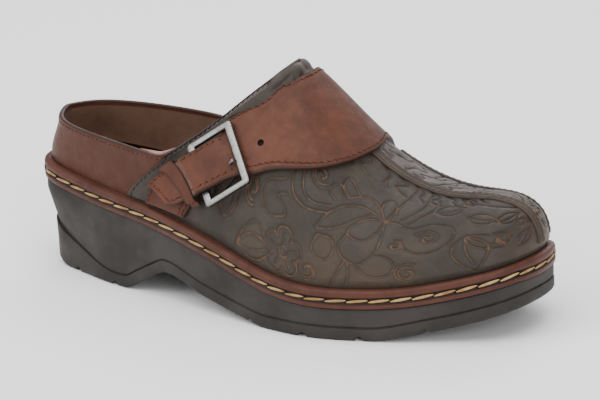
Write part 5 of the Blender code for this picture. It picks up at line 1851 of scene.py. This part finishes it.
@dataclass
class Seams:
    """The two raised seams from the strap over the toe, each a double welted ridge."""

    form: LastForm
    width: float = 6.0 * MM
    height: float = 1.1 * MM
    gap: float = 0.3 * MM
    plan: tuple = (
        (0.660, -0.002, 0.285),
        (0.730, 0.008, 0.290),
        (0.780, 0.024, 0.300),
        (0.850, 0.033, 0.305),
        (0.920, 0.055, 0.312),
        (0.965, 0.095, 0.325),
        (1.050, 0.100, 0.335),
    )
    starts: dict = field(default_factory=lambda: {"seam_lateral": 0.346, "seam_medial": 0.352})
    stitch: Thread = Thread(pitch=3.0 * MM, length=2.2 * MM, radius=0.27 * MM, lean=8.0, rise=0.0)

    def surface(self) -> tuple[BVHTree, Array]:
        """A fine net of the smooth vamp for finding heights from above."""
        form = self.form
        shares = np.linspace(0, 0.40, 150)
        heights = np.linspace(0.0, 1.0, 110)
        points, normals, faces = [], [], []
        for side in (LATERAL, MEDIAL):
            base = len(points) * len(heights) * len(shares)
            s, h = (a.ravel() for a in np.meshgrid(shares, heights, indexing="ij"))
            sides = np.full(len(s), float(side))
            points.append(form.face(sides, s, h, form.vamp_step))
            normals.append(form.normal(sides, s, h))
            for i in range(len(shares) - 1):
                for j in range(len(heights) - 1):
                    a = base + i * len(heights) + j
                    faces.append((a, a + 1, a + len(heights) + 1, a + len(heights)))
        corners = np.concatenate(points)
        tree = BVHTree.FromPolygons([tuple(p) for p in corners], faces)
        picked = np.array([normals_of for normals_of in np.concatenate(normals)])
        return tree, picked[np.array([f[0] for f in faces])]

    def route(self, tree: BVHTree, normals: Array, index: int, start: float) -> tuple[Array, Array]:
        """The seam's middle line on the vamp and its outward directions.

        Args:
            tree: the net of the vamp.
            normals: the outward direction at each of its faces.
            index: the seam's column in the plan table.
            start: the last's share where the strap covers the seam.

        Returns:
            Points and directions at an even spacing.
        """
        line = fair_curve(column(self.plan, 0), column(self.plan, index))
        points, ups = [], []
        begin = float(self.form.ridge_run[0](np.array([start]))[0])
        for share in np.concatenate([np.linspace(begin, 0.96, 160), np.linspace(0.96, 1.03, 400)[1:]]):
            x = share * self.form.length - self.form.origin[0]
            y = float(line(np.array([share]))[0]) * self.form.ball_width - self.form.origin[1]
            hit = tree.ray_cast(Vector((x, y, 0.3)), Vector((0, 0, -1)))
            if hit[0] is None:
                break
            points.append(np.array(hit[0]))
            ups.append(normals[hit[2]])
        points, ups = np.array(points), np.array(ups)
        reach = np.concatenate([[0], np.cumsum(np.linalg.norm(np.diff(points, axis=0), axis=1))])
        even = np.linspace(0, reach[-1] * 0.985, 180)
        path = np.stack([np.interp(even, reach, points[:, k]) for k in range(3)], axis=1)
        up = np.stack([np.interp(even, reach, ups[:, k]) for k in range(3)], axis=1)
        return eased(path, 6), unit(eased(up, 10))

    def build(self, finishes: Finishes) -> list[bpy.types.Object]:
        """Both seams and their stitches."""
        tree, normals = self.surface()
        pieces, rows = [], []
        half = self.width / 2
        section = (
            (-1.0, -0.3), (-1.0, 0.30), (-0.93, 0.62), (-0.80, 0.84), (-0.62, 0.95), (-0.42, 0.98), (-0.22, 0.90),
            (-0.09, 0.62), (0.0, 0.45), (0.09, 0.62), (0.22, 0.90), (0.42, 0.98), (0.62, 0.95), (0.80, 0.84),
            (0.93, 0.62), (1.0, 0.30), (1.0, -0.3),
        )
        for name, index in (("seam_lateral", 1), ("seam_medial", 2)):
            path, up = self.route(tree, normals, index, self.starts[name])
            ahead = unit(np.gradient(path, axis=0))
            across = unit(np.cross(up, ahead))

            def place(u: Array, v: Array, path: Array = path, up: Array = up, across: Array = across) -> Array:
                at = np.rint(u * (len(path) - 1)).astype(int)
                row = np.rint(v * (len(section) - 1)).astype(int)
                out = np.array([section[r][0] for r in row]) * half
                tall = np.array([section[r][1] for r in row]) * (self.height + self.gap)
                hug = -0.02 * (out / half) ** 2 * half
                return path[at] + across[at] * out[:, None] + up[at] * (tall + hug)[:, None]

            shape = drape(len(path) - 1, len(section) - 1, place, {"rim": lambda u, v: np.abs(v - 0.5) * -6 + 3.2})
            seam = finish_shape(shape, name + "_ridge", finishes.binding, Facing.OUT, 180.0)
            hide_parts(name)
            pieces.append(seam)
            for out in (-0.55, 0.55):
                rows.append((path + across * (out * half) + up * ((self.height + self.gap) * 0.95), up))
        pieces += sew("seam_stitches", rows, self.stitch, finishes.binding_thread, finishes.hole)
        return pieces


@dataclass(frozen=True)
class Studio:
    """The pale floor, the soft lights and the camera at the photograph's angle."""

    azimuth: float = 34.0
    elevation: float = 18.0
    roll: float = 2.15
    distance: float = 2.138
    pixels_per_mm: float = 2.1535
    middle_u: float = 291.6
    middle_v: float = 208.5
    aim: tuple[float, float, float] = (0.128, 0.0, 0.040)
    width: int = 600
    height: int = 400

    def camera(self, form: LastForm) -> None:
        """Place the camera."""
        a, e, r = (math.radians(angle) for angle in (self.azimuth, self.elevation, self.roll))
        back = Vector((math.sin(a) * math.cos(e), -math.cos(a) * math.cos(e), math.sin(e)))
        right = Vector((math.cos(a), math.sin(a), 0))
        up = back.cross(right)
        across = right * math.cos(r) - up * math.sin(r)
        upward = right * math.sin(r) + up * math.cos(r)
        camera = bpy.data.objects.new("camera", bpy.data.cameras.new("camera"))
        bpy.context.scene.collection.objects.link(camera)
        turn = Matrix((across, upward, back)).transposed().to_4x4()
        aim = Vector(self.aim) - Vector(form.origin)
        camera.matrix_world = Matrix.Translation(aim + back * self.distance) @ turn
        camera.data.sensor_width = 36.0
        camera.data.lens = self.pixels_per_mm * self.distance / MM * 36.0 / self.width
        camera.data.shift_x = (self.width / 2 - self.middle_u) / self.width
        camera.data.shift_y = (self.middle_v - self.height / 2) / self.width
        camera.data.clip_end = 20.0
        bpy.context.scene.camera = camera

    def light(self, name: str, place: tuple[float, float, float], size: float, power: float) -> None:
        """A square soft light aimed at the shoe."""
        lamp = bpy.data.lights.new(name, "AREA")
        lamp.size = size
        lamp.energy = power
        light = bpy.data.objects.new(name, lamp)
        bpy.context.scene.collection.objects.link(light)
        light.location = place
        light.rotation_euler = (Vector((0, 0, 0.05)) - Vector(place)).to_track_quat("-Z", "Y").to_euler()

    def build(self, form: LastForm) -> None:
        """Floor, lights, world and camera."""
        shape = bmesh.new()
        bmesh.ops.create_grid(shape, x_segments=8, y_segments=8, size=6.0)
        mesh = bpy.data.meshes.new("floor")
        shape.to_mesh(mesh)
        shape.free()
        floor = bpy.data.objects.new("floor", mesh)
        bpy.context.scene.collection.objects.link(floor)
        pale = bpy.data.materials.new("pale_floor")
        pale.use_nodes = True
        shader = pale.node_tree.nodes["Principled BSDF"]
        shader.inputs["Base Color"].default_value = (0.94, 0.94, 0.94, 1.0)
        shader.inputs["Roughness"].default_value = 0.9
        mesh.materials.append(pale)
        self.light("overhead_softbox", (0.1, -0.3, 1.6), 1.8, 30.0)
        self.light("key_softbox", (-1.0, -1.3, 1.1), 1.1, 17.0)
        self.light("front_fill", (1.5, -1.2, 0.7), 1.2, 19.0)
        self.light("back_fill", (-0.4, 1.5, 1.1), 1.2, 16.0)
        world = bpy.data.worlds.new("studio")
        bpy.context.scene.world = world
        world.use_nodes = True
        background = world.node_tree.nodes["Background"]
        background.inputs["Color"].default_value = (1.0, 1.0, 1.0, 1.0)
        background.inputs["Strength"].default_value = 0.7
        self.camera(form)


def main() -> None:
    """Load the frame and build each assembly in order."""
    logging.basicConfig(level=logging.INFO, format="%(name)s: %(message)s")
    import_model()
    form = LastForm()
    finishes = Finishes()
    strap = Strap(form)
    for assembly in (Sole(form), Welt(form), Insole(form), Upper(form), strap, Buckle(strap), Seams(form)):
        for piece in assembly.build(finishes):
            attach(piece, BODY)
            log.info("%s: %d faces", piece.name, len(piece.data.polygons))
    Studio().build(form)


if __name__ == "__main__":
    main()
